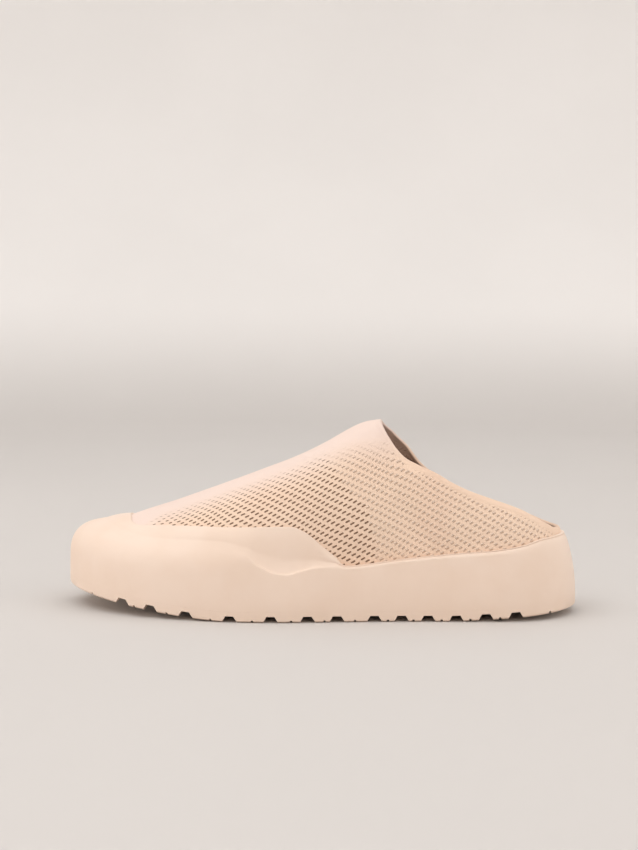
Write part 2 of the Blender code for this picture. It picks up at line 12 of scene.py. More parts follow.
import bpy
import numpy as np
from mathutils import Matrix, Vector


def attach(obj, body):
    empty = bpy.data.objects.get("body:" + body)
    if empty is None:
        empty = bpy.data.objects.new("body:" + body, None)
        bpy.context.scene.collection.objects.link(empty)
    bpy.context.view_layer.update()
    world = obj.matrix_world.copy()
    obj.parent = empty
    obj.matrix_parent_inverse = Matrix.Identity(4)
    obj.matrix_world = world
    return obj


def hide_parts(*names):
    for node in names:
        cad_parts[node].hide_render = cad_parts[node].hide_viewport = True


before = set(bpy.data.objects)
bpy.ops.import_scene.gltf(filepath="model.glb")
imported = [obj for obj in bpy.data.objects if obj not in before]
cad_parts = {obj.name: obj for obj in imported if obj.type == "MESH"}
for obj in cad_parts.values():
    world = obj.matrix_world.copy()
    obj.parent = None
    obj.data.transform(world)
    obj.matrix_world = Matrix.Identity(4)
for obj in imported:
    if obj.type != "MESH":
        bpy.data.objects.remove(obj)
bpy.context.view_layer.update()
print("CAD nodes:", sorted(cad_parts))

# %% [markdown]
# ## The camera
#
# The photograph looks almost square on to the outer side, from a little above. The camera was fitted to the
# shoe's outline: 0.85 m away, turned 4.7 degrees towards the toe and tipped 3.7 degrees down. The picture is
# 638 by 850, and Blender measures the lens against its long side.

# %% Camera
CAMERA_DISTANCE = 0.85
CAMERA_TARGET = (0.0008, 0.0, 0.160)
CAMERA_TURN = np.radians(4.7)
CAMERA_TILT = np.radians(3.7)
FOCAL_PIXELS = 1475
LONG_SIDE_PIXELS = 850
SENSOR_WIDTH = 36

lens_data = bpy.data.cameras.new("camera")
lens_data.sensor_width = SENSOR_WIDTH
lens_data.lens = FOCAL_PIXELS * SENSOR_WIDTH / LONG_SIDE_PIXELS
camera = bpy.data.objects.new("camera", lens_data)
camera.location = (
    CAMERA_TARGET[0] + CAMERA_DISTANCE * np.sin(CAMERA_TURN),
    CAMERA_TARGET[1] - CAMERA_DISTANCE * np.cos(CAMERA_TURN),
    CAMERA_TARGET[2],
)
camera.rotation_euler = (np.pi / 2 - CAMERA_TILT, 0, CAMERA_TURN)
bpy.context.collection.objects.link(camera)
bpy.context.scene.camera = camera
bpy.context.scene.view_settings.view_transform = "Standard"
print("lens, mm:", round(lens_data.lens, 2))

# %% [markdown]
# ## Sizes of the shoe
#
# A last maker works from a plan, a side view and sections. The tables here are those: each row is a place
# along the shoe, and smooth curves run through the rows. They hold the same sizes as the solids, so every
# surface made from them lies where the solid is.

# %% Sizes and tables
LENGTH = 0.296
BALL_WIDTH = 0.109
PEAK_HEIGHT = 0.110
RIM_HEIGHT = 0.044
TOE_REACH = 0.080
HEEL_REACH = 0.042
TREAD_THICKNESS = 0.0058
FLOOR_HEIGHT = 0.026
FEATHER_INSET = 0.0064
GAP = 0.0003

SOLE_PLAN = np.array(  # along, half width, shift towards the inner side, floor of the well
    [
        (0.00, 0.477, 0.108, 0.98),
        (0.08, 0.477, 0.076, 0.89),
        (0.15, 0.477, 0.052, 0.82),
        (0.25, 0.490, 0.026, 0.77),
        (0.36, 0.500, -0.005, 0.76),
        (0.45, 0.478, -0.020, 0.79),
        (0.56, 0.426, -0.028, 0.86),
        (0.66, 0.393, -0.026, 0.93),
        (0.79, 0.384, -0.007, 0.99),
        (1.00, 0.376, 0.004, 1.00),
    ]
)
RIDGE = np.array(  # along the instep, share of the climb from the rim height to the peak height
    [
        (0.000, 0.267),
        (0.150, 0.363),
        (0.300, 0.460),
        (0.450, 0.563),
        (0.580, 0.650),
        (0.700, 0.750),
        (0.790, 0.843),
        (0.870, 0.922),
        (0.940, 0.968),
        (1.000, 0.977),
    ]
)
COLLAR = np.array(  # round the collar, share of the climb on the outer side, on the inner side, fall outside
    [
        (0.000, 0.977, 0.977, 0),
        (0.017, 0.970, 0.965, 16),
        (0.054, 0.950, 0.940, 31),
        (0.100, 0.908, 0.905, 44),
        (0.150, 0.836, 0.863, 54),
        (0.200, 0.747, 0.797, 60),
        (0.250, 0.670, 0.718, 64),
        (0.311, 0.612, 0.567, 66),
        (0.375, 0.551, 0.455, 66),
        (0.436, 0.468, 0.366, 62),
        (0.500, 0.396, 0.300, 58),
        (0.564, 0.341, 0.240, 56),
        (0.631, 0.287, 0.190, 56),
        (0.690, 0.236, 0.155, 58),
        (0.752, 0.168, 0.110, 62),
        (0.817, 0.108, 0.074, 68),
        (0.880, 0.067, 0.058, 74),
        (1.000, 0.050, 0.050, 78),
    ]
)
SECTIONS = np.array(  # along, pull of the side wall, pull of the top, bulge of the side
    [
        (0.00, 0.52, 0.28, 0.0),
        (0.10, 0.54, 0.34, 0.4),
        (0.25, 0.53, 0.46, 1.0),
        (0.40, 0.49, 0.41, 1.0),
        (0.55, 0.40, 0.31, 0.8),
        (0.70, 0.37, 0.30, 0.8),
        (0.85, 0.37, 0.32, 1.2),
        (1.00, 0.35, 0.32, 0.6),
    ]
)
CUP = np.array(  # along, top of the wall, edge of the knit, shoulder round, step of the wing, lean of the wall
    [
        (0.000, 1.015, 1.165, 1.00, 0.0, 0.20),
        (0.050, 0.985, 1.165, 0.95, 0.0, 0.25),
        (0.100, 0.905, 1.170, 0.80, 0.0, 0.35),
        (0.170, 0.820, 1.175, 0.62, 0.0, 0.45),
        (0.223, 0.795, 1.136, 0.58, 0.0, 0.45),
        (0.330, 0.800, 1.150, 0.45, 0.0, 0.45),
        (0.380, 0.795, 1.160, 0.22, 0.4, 0.45),
        (0.408, 0.702, 1.168, 0.08, 1.0, 0.45),
        (0.435, 0.618, 1.174, 0.07, 1.0, 0.45),
        (0.458, 0.600, 1.172, 0.07, 1.0, 0.45),
        (0.482, 0.640, 1.118, 0.07, 1.0, 0.45),
        (0.517, 0.690, 0.955, 0.07, 0.8, 0.45),
        (0.545, 0.690, 0.815, 0.08, 0.4, 0.45),
        (0.568, 0.678, 0.692, 0.09, 0.0, 0.45),
        (0.666, 0.754, 0.768, 0.09, 0.0, 0.50),
        (0.757, 0.818, 0.832, 0.11, 0.0, 0.55),
        (0.851, 0.872, 0.886, 0.16, 0.0, 0.65),
        (0.905, 0.925, 0.940, 0.30, 0.0, 0.75),
        (0.944, 0.965, 1.000, 0.54, 0.0, 0.98),
        (1.000, 0.970, 1.022, 0.76, 0.0, 1.22),
    ]
)
TOE_EDGE = np.array(  # along, reach of the rand over the toe, how much this rule holds
    [
        (0.00, 1.000, 1.0),
        (0.01, 0.955, 1.0),
        (0.04, 0.790, 1.0),
        (0.09, 0.530, 1.0),
        (0.14, 0.300, 0.6),
        (0.20, 0.120, 0.0),
        (1.00, 0.120, 0.0),
    ]
)

# %% [markdown]
# A cubic through each column of a table, whose slope at a row is the harmonic mean of the slopes on both
# sides, keeps flat parts flat and never swings past a row. That matters on a shoe, where an overshoot would
# show as a dent in the rand.

# %% Smooth curves through a table
def curve(table, column, at):
    """Cubic through the rows of one column: value and harmonic-mean slope at each row, no overshoot."""
    x, y = table[:, 0], table[:, column]
    step = np.diff(x)
    slope = np.diff(y) / step
    before, after = slope[:-1], slope[1:]
    heavy, light = 2 * step[1:] + step[:-1], step[1:] + 2 * step[:-1]
    turning = before * after <= 0
    mean = (heavy + light) / (heavy / np.where(turning, 1, before) + light / np.where(turning, 1, after))
    tangent = np.concatenate([slope[:1], np.where(turning, 0, mean), slope[-1:]])
    at = np.clip(at, x[0], x[-1])
    i = np.clip(np.searchsorted(x, at, side="right") - 1, 0, len(step) - 1)
    t = (at - x[i]) / step[i]
    return (
        (1 + 2 * t) * (1 - t) ** 2 * y[i]
        + t * (1 - t) ** 2 * step[i] * tangent[i]
        + t * t * (3 - 2 * t) * y[i + 1]
        + t * t * (t - 1) * step[i] * tangent[i + 1]
    )


def fair_curve(table, column, at):
    """Natural cubic spline: the bending at the rows solves the equations that keep it continuous."""
    x, y = table[:, 0], table[:, column]
    step = np.diff(x)
    slope = np.diff(y) / step
    equations = np.eye(len(x))
    inner = np.arange(1, len(x) - 1)
    equations[inner, inner - 1], equations[inner, inner + 1] = step[:-1], step[1:]
    equations[inner, inner] = 2 * (step[:-1] + step[1:])
    bending = np.linalg.solve(equations, np.concatenate([[0], 6 * np.diff(slope), [0]]))
    at = np.clip(at, x[0], x[-1])
    i = np.clip(np.searchsorted(x, at, side="right") - 1, 0, len(step) - 1)
    left, right, h = at - x[i], x[i + 1] - at, step[i]
    lifted = (bending[i] * right**3 + bending[i + 1] * left**3) / (6 * h)
    return lifted + (y[i] / h - bending[i] * h / 6) * right + (y[i + 1] / h - bending[i + 1] * h / 6) * left


def unit(vectors):
    """Vectors divided by their own lengths."""
    return vectors / np.linalg.norm(vectors, axis=-1, keepdims=True)


def eased(x, low, high):
    """0 below low, 1 above high, and 3x^2 - 2x^3 between them."""
    t = np.clip((x - low) / (high - low), 0, 1)
    return t * t * (3 - 2 * t)


print("share of the climb at the middle of the instep:", round(float(fair_curve(RIDGE, 1, 0.5)), 3))

# %% [markdown]
# ## One ring of columns for the whole shoe
#
# A shoe is lasted: the upper is pulled over the last from the edge of the sole up to the instep. The model
# follows that. A ring of columns runs round the sole, toe tip, outer side, heel and inner side, and each
# column climbs the last to the ridge of the instep or to the rim of the collar. Tread, cup, knit and footbed
# are all worked out on this ring, so they fit one another everywhere.

# %% The ring
TOE_RUNGS, MIDDLE_RUNGS, HEEL_RUNGS = 14, 20, 8
POLE_RUNG, PEAK_RUNG = 13, 22
RUNGS = TOE_RUNGS + MIDDLE_RUNGS + HEEL_RUNGS
TOE_SPRING, TOE_SPRING_REACH, TOE_SPRING_POWER = 0.0125, 0.100, 1.35
HEEL_RISE, HEEL_RISE_REACH, HEEL_RISE_POWER = 0.0048, 0.070, 1.2


def station_of(rung):
    """Distance from the toe tip: a quarter turn round the toe, a straight run, a quarter turn at the heel."""
    toe = 1 - np.cos(np.clip(rung / TOE_RUNGS, 0, 1) * np.pi / 2)
    run = np.clip((rung - TOE_RUNGS) / MIDDLE_RUNGS, 0, 1)
    heel = np.sin(np.clip((rung - TOE_RUNGS - MIDDLE_RUNGS) / HEEL_RUNGS, 0, 1) * np.pi / 2)
    return TOE_REACH * toe + (LENGTH - TOE_REACH - HEEL_REACH) * run + HEEL_REACH * heel


def half_width(station):
    """Half the plan's width, times a quarter ellipse at each end."""
    toe = np.clip(1 - station / TOE_REACH, 0, 1)
    heel = np.clip(1 - (LENGTH - station) / HEEL_REACH, 0, 1)
    return BALL_WIDTH * fair_curve(SOLE_PLAN, 1, station / LENGTH) * np.sqrt((1 - toe**2) * (1 - heel**2))


def middle_of(station):
    """How far the middle of the plan lies towards the inner side."""
    return BALL_WIDTH * fair_curve(SOLE_PLAN, 2, station / LENGTH)


def bottom_of(station):
    """Height of the tread: toe spring and heel rise, each a power of the distance into its reach."""
    toe = np.clip(1 - station / TOE_SPRING_REACH, 0, None)
    heel = np.clip(1 - (LENGTH - station) / HEEL_RISE_REACH, 0, None)
    return TOE_SPRING * toe**TOE_SPRING_POWER + HEEL_RISE * heel**HEEL_RISE_POWER


def ring_of(fineness):
    """The sole's outline as columns, fineness of them to a rung, with place, outward direction and side."""
    down = np.arange(RUNGS * fineness + 1) / fineness
    rung = np.concatenate([down, down[-2:0:-1]])
    side = np.where(np.arange(len(rung)) < len(down), -1.0, 1.0)
    station = station_of(rung)
    y = middle_of(station) + side * half_width(station)
    shift = (y.max() + y.min()) / 2
    point = np.stack([station - LENGTH / 2, y - shift], axis=1)
    tangent = unit(np.roll(point, -1, axis=0) - np.roll(point, 1, axis=0))
    outward = np.stack([tangent[:, 1], -tangent[:, 0]], axis=1)
    outward *= -np.sign(outward[0, 0])
    return SimpleNamespace(
        rung=rung,
        side=side,
        station=station,
        along=station / LENGTH,
        point=point,
        outward=outward,
        shift=shift,
        mirrored=(-np.arange(len(rung))) % len(rung),
        last=len(down) - 1,
    )


ring = ring_of(10)
print("columns:", len(ring.rung), " shift, mm:", round(ring.shift * 1000, 2))

# %% [markdown]
# ## The last
#
# Each column is one cubic with four control points: the feather edge, a handle straight above it, a handle
# beside the top, and the top itself. The handles decide how full the toe is and how steeply the sides fall
# from the instep, which is what a last maker files by hand.

# %% The last as a function of column and share
SIDE_BULGE = 0.0016
RIDGE_START = 0.068
RIDGE_CROWDING = 1.15
COLLAR_LENGTH = 0.1023
COLLAR_SETBACK = 0.0092
COLLAR_WIDTH = 0.056
COLLAR_CROWDING = 0.05
SQUARENESS_FRONT, SQUARENESS_BACK = 3.8, 2.1


def at_inset(ring, inset, height):
    """The ring moved in along its outward direction and lifted to a height."""
    flat = ring.point - ring.outward * np.broadcast_to(inset, len(ring.rung))[:, None]
    return np.column_stack([flat, np.broadcast_to(height, len(flat))])


def column_tops(ring):
    """Tops on the ridge up to the peak, then on a squared ellipse round the collar, with their slopes."""
    front = ring.rung <= PEAK_RUNG
    peak = LENGTH - COLLAR_SETBACK - COLLAR_LENGTH
    share = np.clip((ring.rung - POLE_RUNG) / (PEAK_RUNG - POLE_RUNG), 0, 1) ** RIDGE_CROWDING
    ridge_x = RIDGE_START + (peak - RIDGE_START) * share
    climb = PEAK_HEIGHT - RIM_HEIGHT
    ridge_z = RIM_HEIGHT + climb * fair_curve(RIDGE, 1, share)
    past = np.clip((ring.rung - PEAK_RUNG) / (RUNGS - PEAK_RUNG), 0, 1)
    turned = past**3 * (1 + COLLAR_CROWDING) / (past**2 + COLLAR_CROWDING)
    across = np.cos(np.pi * turned)
    power = SQUARENESS_FRONT + (SQUARENESS_BACK - SQUARENESS_FRONT) * turned
    half = COLLAR_WIDTH / 2 * (1 - np.abs(across) ** power) ** (1 / power)
    rim_z = RIM_HEIGHT + climb * np.where(ring.side < 0, curve(COLLAR, 1, turned), curve(COLLAR, 2, turned))
    station = np.where(front, ridge_x, peak + COLLAR_LENGTH * (1 - across) / 2)
    y = middle_of(station) - ring.shift + ring.side * np.where(front, 0, half)
    top = np.column_stack([station - LENGTH / 2, y, np.where(front, ridge_z, rim_z)])
    droop = np.radians(np.where(front, 0, curve(COLLAR, 3, turned)))
    low, high = np.clip(share - 1e-3, 0, 1), np.clip(share + 1e-3, 0, 1)
    rise = climb * (fair_curve(RIDGE, 1, high) - fair_curve(RIDGE, 1, low)) / ((high - low) * (peak - RIDGE_START))
    return top, droop, np.where(front, rise, 0), turned


def last_handles(ring):
    """Foot, wall handle, top handle and top of every column."""
    foot = at_inset(ring, FEATHER_INSET, FLOOR_HEIGHT * fair_curve(SOLE_PLAN, 3, ring.along) + GAP)
    top, droop, rise, _ = column_tops(ring)
    outward = unit(foot[:, :2] - top[:, :2] + ring.outward * FEATHER_INSET)
    bulge = SIDE_BULGE * fair_curve(SECTIONS, 3, ring.along)
    lift = (top - foot)[:, 2] * fair_curve(SECTIONS, 1, ring.along)
    wall = foot + np.column_stack([ring.outward * bulge[:, None], lift])
    reach = np.linalg.norm(top - foot, axis=1) * fair_curve(SECTIONS, 2, ring.along)
    over = unit(np.column_stack([outward, -(np.tan(droop) - rise * outward[:, 0])]))
    return foot, wall, top + over * reach[:, None], top


def on_column(handles, share):
    """The cubic of each column at a share: the four points weighted (1-t)^3, 3t(1-t)^2, 3t^2(1-t), t^3."""
    foot, wall, over, top = handles
    t = np.asarray(share)[..., None]
    return foot * (1 - t) ** 3 + 3 * wall * t * (1 - t) ** 2 + 3 * over * t * t * (1 - t) + top * t**3


def share_where(handles, measure, wanted):
    """The share at which a measure of the columns reaches a wanted value, found by halving."""
    low, high = np.zeros(len(wanted)), np.ones(len(wanted))
    for _ in range(40):
        middle = (low + high) / 2
        short = measure(on_column(handles, middle)) < wanted
        low, high = np.where(short, middle, low), np.where(short, high, middle)
    return (low + high) / 2


handles = last_handles(ring)
print("peak of the instep, mm:", round(handles[3][:, 2].max() * 1000, 1))

# %% [markdown]
# ## Where the knit leaves the sole
#
# The cup's rand covers the toe and rises into a wing on each side. The edge of the knit is therefore given
# by height along the sides, and by how far the rand reaches in over the toe at the front. Both rules are
# blended where they meet, so the edge runs round the toe as one arc.

# %% Edge of the knit
TOE_COVER = 0.031
CORNER_RUNG, CORNER_ROUNDS = 9.0, 500


def knit_edge(ring, handles):
    """Share of each column at which the knit comes out: by height, and by distance from the foot at the toe.

    Round the corner of the toe each share is then moved towards the middle of its two neighbours, again and again.
    """
    height = share_where(handles, lambda p: p[:, 2], RIM_HEIGHT * curve(CUP, 2, ring.along))
    foot = handles[0][:, :2]
    reach = share_where(handles, lambda p: np.linalg.norm(p[:, :2] - foot, axis=1), TOE_COVER * curve(TOE_EDGE, 1, ring.along))
    holds = curve(TOE_EDGE, 2, ring.along)
    share = height * (1 - holds) + reach * holds
    pull = 1 - eased(np.abs(ring.rung - CORNER_RUNG), 2.5, 5.0)
    for _ in range(CORNER_ROUNDS):
        share = share + pull * (np.roll(share, 1) + np.roll(share, -1) - 2 * share) / 4
    return share


edge = knit_edge(ring, handles)
edge_points = on_column(handles, edge)
print("knit edge, mm above the floor:", np.round(edge_points[:, 2].min() * 1000, 1), "to", np.round(edge_points[:, 2].max() * 1000, 1))

# %% [markdown]
# ## Rows of the last, and its folds
#
# Knit pulled between the instep and the wing never lies quite flat: on this shoe a soft hollow runs down from
# the front corner of the collar, with a fuller band behind it. Folds like these are placed one by one, as a
# maker would press them in: each is a line on the side of the shoe with a width and a depth, and it pushes
# the surface along its own normal.

# %% Rows, normals and folds
WELL_ROWS, SIDE_ROWS = 8, 70
FOLDS = (  # side, start (station, height), end (station, height), width, depth in
    (-1, (0.184, 0.092), (0.203, 0.050), 0.0080, 0.0021),
    (-1, (0.202, 0.082), (0.220, 0.050), 0.0085, -0.0011),
    (-1, (0.166, 0.086), (0.178, 0.050), 0.0100, -0.0008),
    (-1, (0.226, 0.066), (0.238, 0.044), 0.0080, 0.0007),
    (1, (0.185, 0.090), (0.202, 0.052), 0.0085, 0.0017),
    (1, (0.204, 0.076), (0.219, 0.050), 0.0090, -0.0009),
    (1, (0.168, 0.084), (0.180, 0.052), 0.0100, -0.0006),
)


SETTLE_ROUNDS, SETTLE_REACH, POLE_REACH = 400, 6.0, 5.0


def rows_between(ring, handles, low, high, count):
    """Rows of the last from one share of each column to another."""
    share = low + (high - low) * np.linspace(0, 1, count)[:, None]
    return on_column(handles, share)


def normals_of(ring, grid):
    """Cross product of the grid's two directions, and on the ridge (-rise, 0, 1), so both sides agree."""
    around = np.roll(grid, -1, axis=1) - np.roll(grid, 1, axis=1)
    normal = np.cross(np.gradient(grid, axis=0), around)
    normal *= -np.sign(normal[0, 0, 0])
    _, _, rise, _ = column_tops(ring)
    on_ridge = np.column_stack([-rise, 0 * rise, 1 + 0 * rise])
    normal[-1] = np.where((ring.rung <= PEAK_RUNG)[:, None], on_ridge, normal[-1])
    return unit(normal)


def fold_depth(ring, grid):
    """Sum over the folds of depth times a bell across the line, faded out at both of its ends."""
    station, height = grid[..., 0] + LENGTH / 2, grid[..., 2]
    depth = np.zeros(station.shape)
    for side, start, end, width, sink in FOLDS:
        line = np.subtract(end, start)
        run = np.linalg.norm(line)
        line = line / run
        ahead = (station - start[0]) * line[0] + (height - start[1]) * line[1]
        off = (station - start[0]) * line[1] - (height - start[1]) * line[0]
        ends = eased(ahead, -0.5 * run, 0.25 * run) * (1 - eased(ahead, 0.75 * run, 1.5 * run))
        depth += sink * np.exp(-((off / width) ** 2)) * ends * (ring.side == side)
    return depth


def settled(grid, pull):
    """Each point moved towards the middle of its two neighbours round the shoe, by a share of pull, again and again."""
    for _ in range(SETTLE_ROUNDS):
        grid = grid + pull[..., None] * (np.roll(grid, 1, axis=1) + np.roll(grid, -1, axis=1) - 2 * grid) / 4
    return grid


whole = np.concatenate(
    [rows_between(ring, handles, 0 * edge, edge, WELL_ROWS + 1)[:-1], rows_between(ring, handles, edge, 1 + 0 * edge, SIDE_ROWS + 1)]
)
above = np.linspace(0, 1, SIDE_ROWS + 1)
loose = np.concatenate([np.zeros(WELL_ROWS), eased(above, 0.0, 0.25) * (1 - eased(above, 0.75, 1.0))])
near_peak = 1 - eased(np.abs(ring.rung - PEAK_RUNG), 0.35 * SETTLE_REACH, SETTLE_REACH)
loose_top = np.concatenate([np.zeros(WELL_ROWS), eased(above, 0.25, 0.55) * (1 - eased(above, 0.90, 1.0))])
near_pole = 1 - eased(np.abs(ring.rung - POLE_RUNG), 0.35 * POLE_REACH, POLE_REACH)
whole = settled(whole, loose[:, None] * near_peak)
whole = settled(whole, loose_top[:, None] * near_pole)
taper = np.concatenate([np.zeros(WELL_ROWS), eased(above, 0.0, 0.12) * (1 - eased(above, 0.86, 1.0))])
smooth_normal = normals_of(ring, whole)
whole = whole - smooth_normal * (fold_depth(ring, whole) * taper[:, None])[..., None]
normal = normals_of(ring, whole)
print("rows by columns:", whole.shape[:2], " deepest fold, mm:", round(float(fold_depth(ring, whole).max()) * 1000, 2))

# %% [markdown]
# ## From arrays to a mesh
#
# Every piece is one or more grids of points. Two grids are joined by naming the same point in both, so seams
# are closed by index and nothing needs welding afterwards. The sign of the enclosed volume tells whether the
# faces point outwards.

# %% Grids, caps and pieces
def grid_quads(index, closed=True):
    """Quads between neighbouring rows and columns of an array of point numbers."""
    after = np.roll(index, -1, axis=1)
    quads = np.stack([index[:-1], after[:-1], after[1:], index[1:]], axis=-1)
    return (quads if closed else quads[:, :-1]).reshape(-1, 4)


def across_quads(ring, row):
    """Quads from each column of a ring to the mirrored column, which close the ring like planks."""
    k = np.arange(ring.last)
    return np.stack([row[k], row[k + 1], row[ring.mirrored[k + 1]], row[ring.mirrored[k]]], axis=-1)


def make_piece(name, points, quads, sharp=None, uv=None, values=None, same=None):
    """A mesh object: quads with repeated points become triangles, and faces turn outwards by volume.

    same gives for each point the point it coincides with. uv is kept per point before such merging, so a
    pattern may end on one side of a seam and start anew on the other.
    """
    same = np.arange(len(points)) if same is None else same
    merged = same[quads]
    used, flat = np.unique(merged, return_inverse=True)
    merged = flat.reshape(merged.shape)
    co = points[used]
    a, b, c, d = (co[merged[:, k]] for k in range(4))
    if np.sum(a * np.cross(b, c)) + np.sum(a * np.cross(c, d)) < 0:
        merged, quads = merged[:, ::-1], quads[:, ::-1]
    distinct = merged != np.roll(merged, 1, axis=1)
    whole_quads = distinct.all(axis=1)
    thirds = np.flatnonzero(distinct.sum(axis=1) == 3)
    corners = np.argsort(~distinct[thirds], axis=1, kind="stable")[:, :3]
    corners.sort(axis=1)
    triangles = np.take_along_axis(merged[thirds], corners, axis=1)
    data = bpy.data.meshes.new(name)
    data.from_pydata(co, [], merged[whole_quads].tolist() + triangles.tolist())
    if uv is not None:
        loops = np.concatenate([quads[whole_quads].ravel(), np.take_along_axis(quads[thirds], corners, axis=1).ravel()])
        layer = data.uv_layers.new(name="weave")
        layer.data.foreach_set("uv", uv[loops].astype(np.float32).ravel())
    for key, value in (values or {}).items():
        data.attributes.new(key, "FLOAT", "POINT").data.foreach_set("value", value[used].astype(np.float32))
    data.shade_smooth()
    if sharp is not None:
        data.set_sharp_from_angle(angle=np.radians(sharp))
    made = bpy.data.objects.new(name, data)
    bpy.context.collection.objects.link(made)
    print(name, len(co), "points,", 2 * int(whole_quads.sum()) + len(triangles), "triangles")
    return made


# %% [markdown]
# ## The knitted upper
#
# The real upper is one knitted sock, engineered in a single piece: open mesh at the side, closed knit over the
# vamp, and a turned edge at the collar. It is modelled as one closed wall, outer face, turned edge and inner
# face. The holes are far too many to cut, so the mesh carries a map of its own: distance round the shoe and
# distance up the side, in steps of the knit, for the finish to read.

# %% Wall of the upper
KNIT_THICKNESS = 0.0022
EDGE_ROUND = 0.0007
EDGE_SWELL = 0.00025
EDGE_WIDTH = 0.0032
INNER_STEP = 3

collar = np.arange(PEAK_RUNG * 10, len(ring.rung) - PEAK_RUNG * 10 + 1)
row_step = np.linalg.norm(np.diff(whole, axis=0), axis=2)
from_top = np.concatenate([np.cumsum(row_step[::-1], axis=0)[::-1], np.zeros((1, whole.shape[1]))])
to_collar = np.where(np.isin(np.arange(whole.shape[1]), collar), from_top, np.hypot(from_top, np.clip(whole[-1, collar[0], 0] - whole[..., 0], 0, None)))
swell = EDGE_SWELL * (1 - eased(to_collar, EDGE_WIDTH * 0.7, EDGE_WIDTH * 1.3))
outer = whole + normal * swell[..., None]
inner_rows = np.arange(len(whole) - 1, -1, -INNER_STEP)
inner_rows = np.append(inner_rows, 0) if inner_rows[-1] else inner_rows
inner = (whole - normal * KNIT_THICKNESS)[inner_rows]
inner[-1, :, 2] = whole[0, :, 2]


def turned_edge(outer, inner, count):
    """Half an ellipse from the outer face to the inner one, bulging away from the knit at the collar."""
    loop = outer[-1, collar[:-1]]
    tangent = np.roll(loop, -1, axis=0) - np.roll(loop, 1, axis=0)
    away = unit(np.cross(normal[-1, collar[:-1]], tangent))
    away *= np.sign(away[len(away) // 2, 2])
    full = np.zeros(outer[-1].shape)
    full[collar[:-1]] = away
    full[collar[-1]] = away[0]
    turn = np.linspace(0, np.pi, count + 2)[1:-1, None, None]
    return outer[-1] + (inner[0] - outer[-1]) * (1 - np.cos(turn)) / 2 + full * EDGE_ROUND * np.sin(turn)


roll = turned_edge(outer, inner, 5)
print("collar columns:", len(collar), " inner rows:", len(inner))

# %% [markdown]
# The holes lie on a slanted lattice. One step follows the rows of the knit, forwards and down; the other goes
# up the wales. Distance round the shoe is measured along the middle of the side, and distance up the side in
# the plane across it, so the lattice keeps its size where the last bends away.

# %% Map of the knit
ROW_STEP = (0.00232, -0.00131)
WALE_STEP = (0.00038, 0.00400)
TOE_MAP = (14.0, 17.0)


def knit_map(grid, middle_row):
    """Lattice steps of each point: its (round, up) distances solved against the row step and the wale step."""
    reference = grid[middle_row]
    flat = reference[:, :2]
    stride = np.linalg.norm(np.diff(flat, axis=0, append=flat[:1]), axis=1)
    round_it = np.concatenate([[0], np.cumsum(stride)[:-1]])
    half = ring.last
    round_it = np.where(np.arange(len(round_it)) > half, 2 * round_it[half] - round_it, round_it)
    tangent = np.zeros(reference.shape)
    tangent[:, :2] = unit(np.roll(flat, -1, axis=0) - np.roll(flat, 1, axis=0)) * -ring.side[:, None]
    tangent[0] = 0
    along = np.sum((grid - reference) * tangent, axis=2)
    step = np.diff(grid, axis=0)
    sideways = np.sum(step * tangent, axis=2)
    climb = np.sqrt(np.maximum(np.sum(step * step, axis=2) - sideways**2, 0))
    up = np.concatenate([np.zeros((1, grid.shape[1])), np.cumsum(climb, axis=0)])
    start = int(np.argmin(np.abs(ring.rung[:half] - TOE_MAP[1])))
    level = round_it[start] + grid[..., 0] - reference[start, 0]
    rise = np.concatenate([np.zeros((1, grid.shape[1])), np.cumsum(np.linalg.norm(step[..., 1:], axis=2), axis=0)])
    back = eased(ring.rung, *TOE_MAP)
    distance = np.stack([(round_it + along) * back + level * (1 - back), up * back + rise * (1 - back)], axis=-1)
    return distance, distance @ np.linalg.inv(np.array([ROW_STEP, WALE_STEP]))


distance, lattice = knit_map(whole, WELL_ROWS + 30)
print("knit map, mm round and up:", np.round(distance.max(axis=(0, 1)) * 1000, 1))

# %% Areas of the knit
PANEL_EDGE = np.array(
    [(0.0300, 0.1838), (0.0435, 0.1828), (0.0530, 0.1810), (0.0616, 0.1785), (0.0700, 0.1700), (0.0750, 0.1662), (0.0900, 0.1550)]
)
VAMP_FADE = (0.016, 0.040)
PLAIN_COLLAR = (0.0030, 0.0060)
TOE_FADE = (8.5, 12.0)


def distance_to_ridge(grid):
    """Straight distance to the line of the instep, which ends at the toe's pole and at the collar's peak."""
    line = grid[-1, POLE_RUNG * 10 : PEAK_RUNG * 10 + 1]
    x = np.clip(grid[..., 0], line[0, 0], line[-1, 0])
    nearest = np.stack([x, np.interp(x, line[:, 0], line[:, 1]), np.interp(x, line[:, 0], line[:, 2])], axis=-1)
    return np.linalg.norm(grid - nearest, axis=-1)


side_knit = eased(distance_to_ridge(whole), *VAMP_FADE) * eased(ring.rung, *TOE_FADE)
open_knit = side_knit * eased(to_collar, *PLAIN_COLLAR)
behind_edge = whole[..., 0] + LENGTH / 2 - curve(PANEL_EDGE, 1, whole[..., 2])
print("share of the knit that is open:", round(float((open_knit > 0.5).mean()), 2))

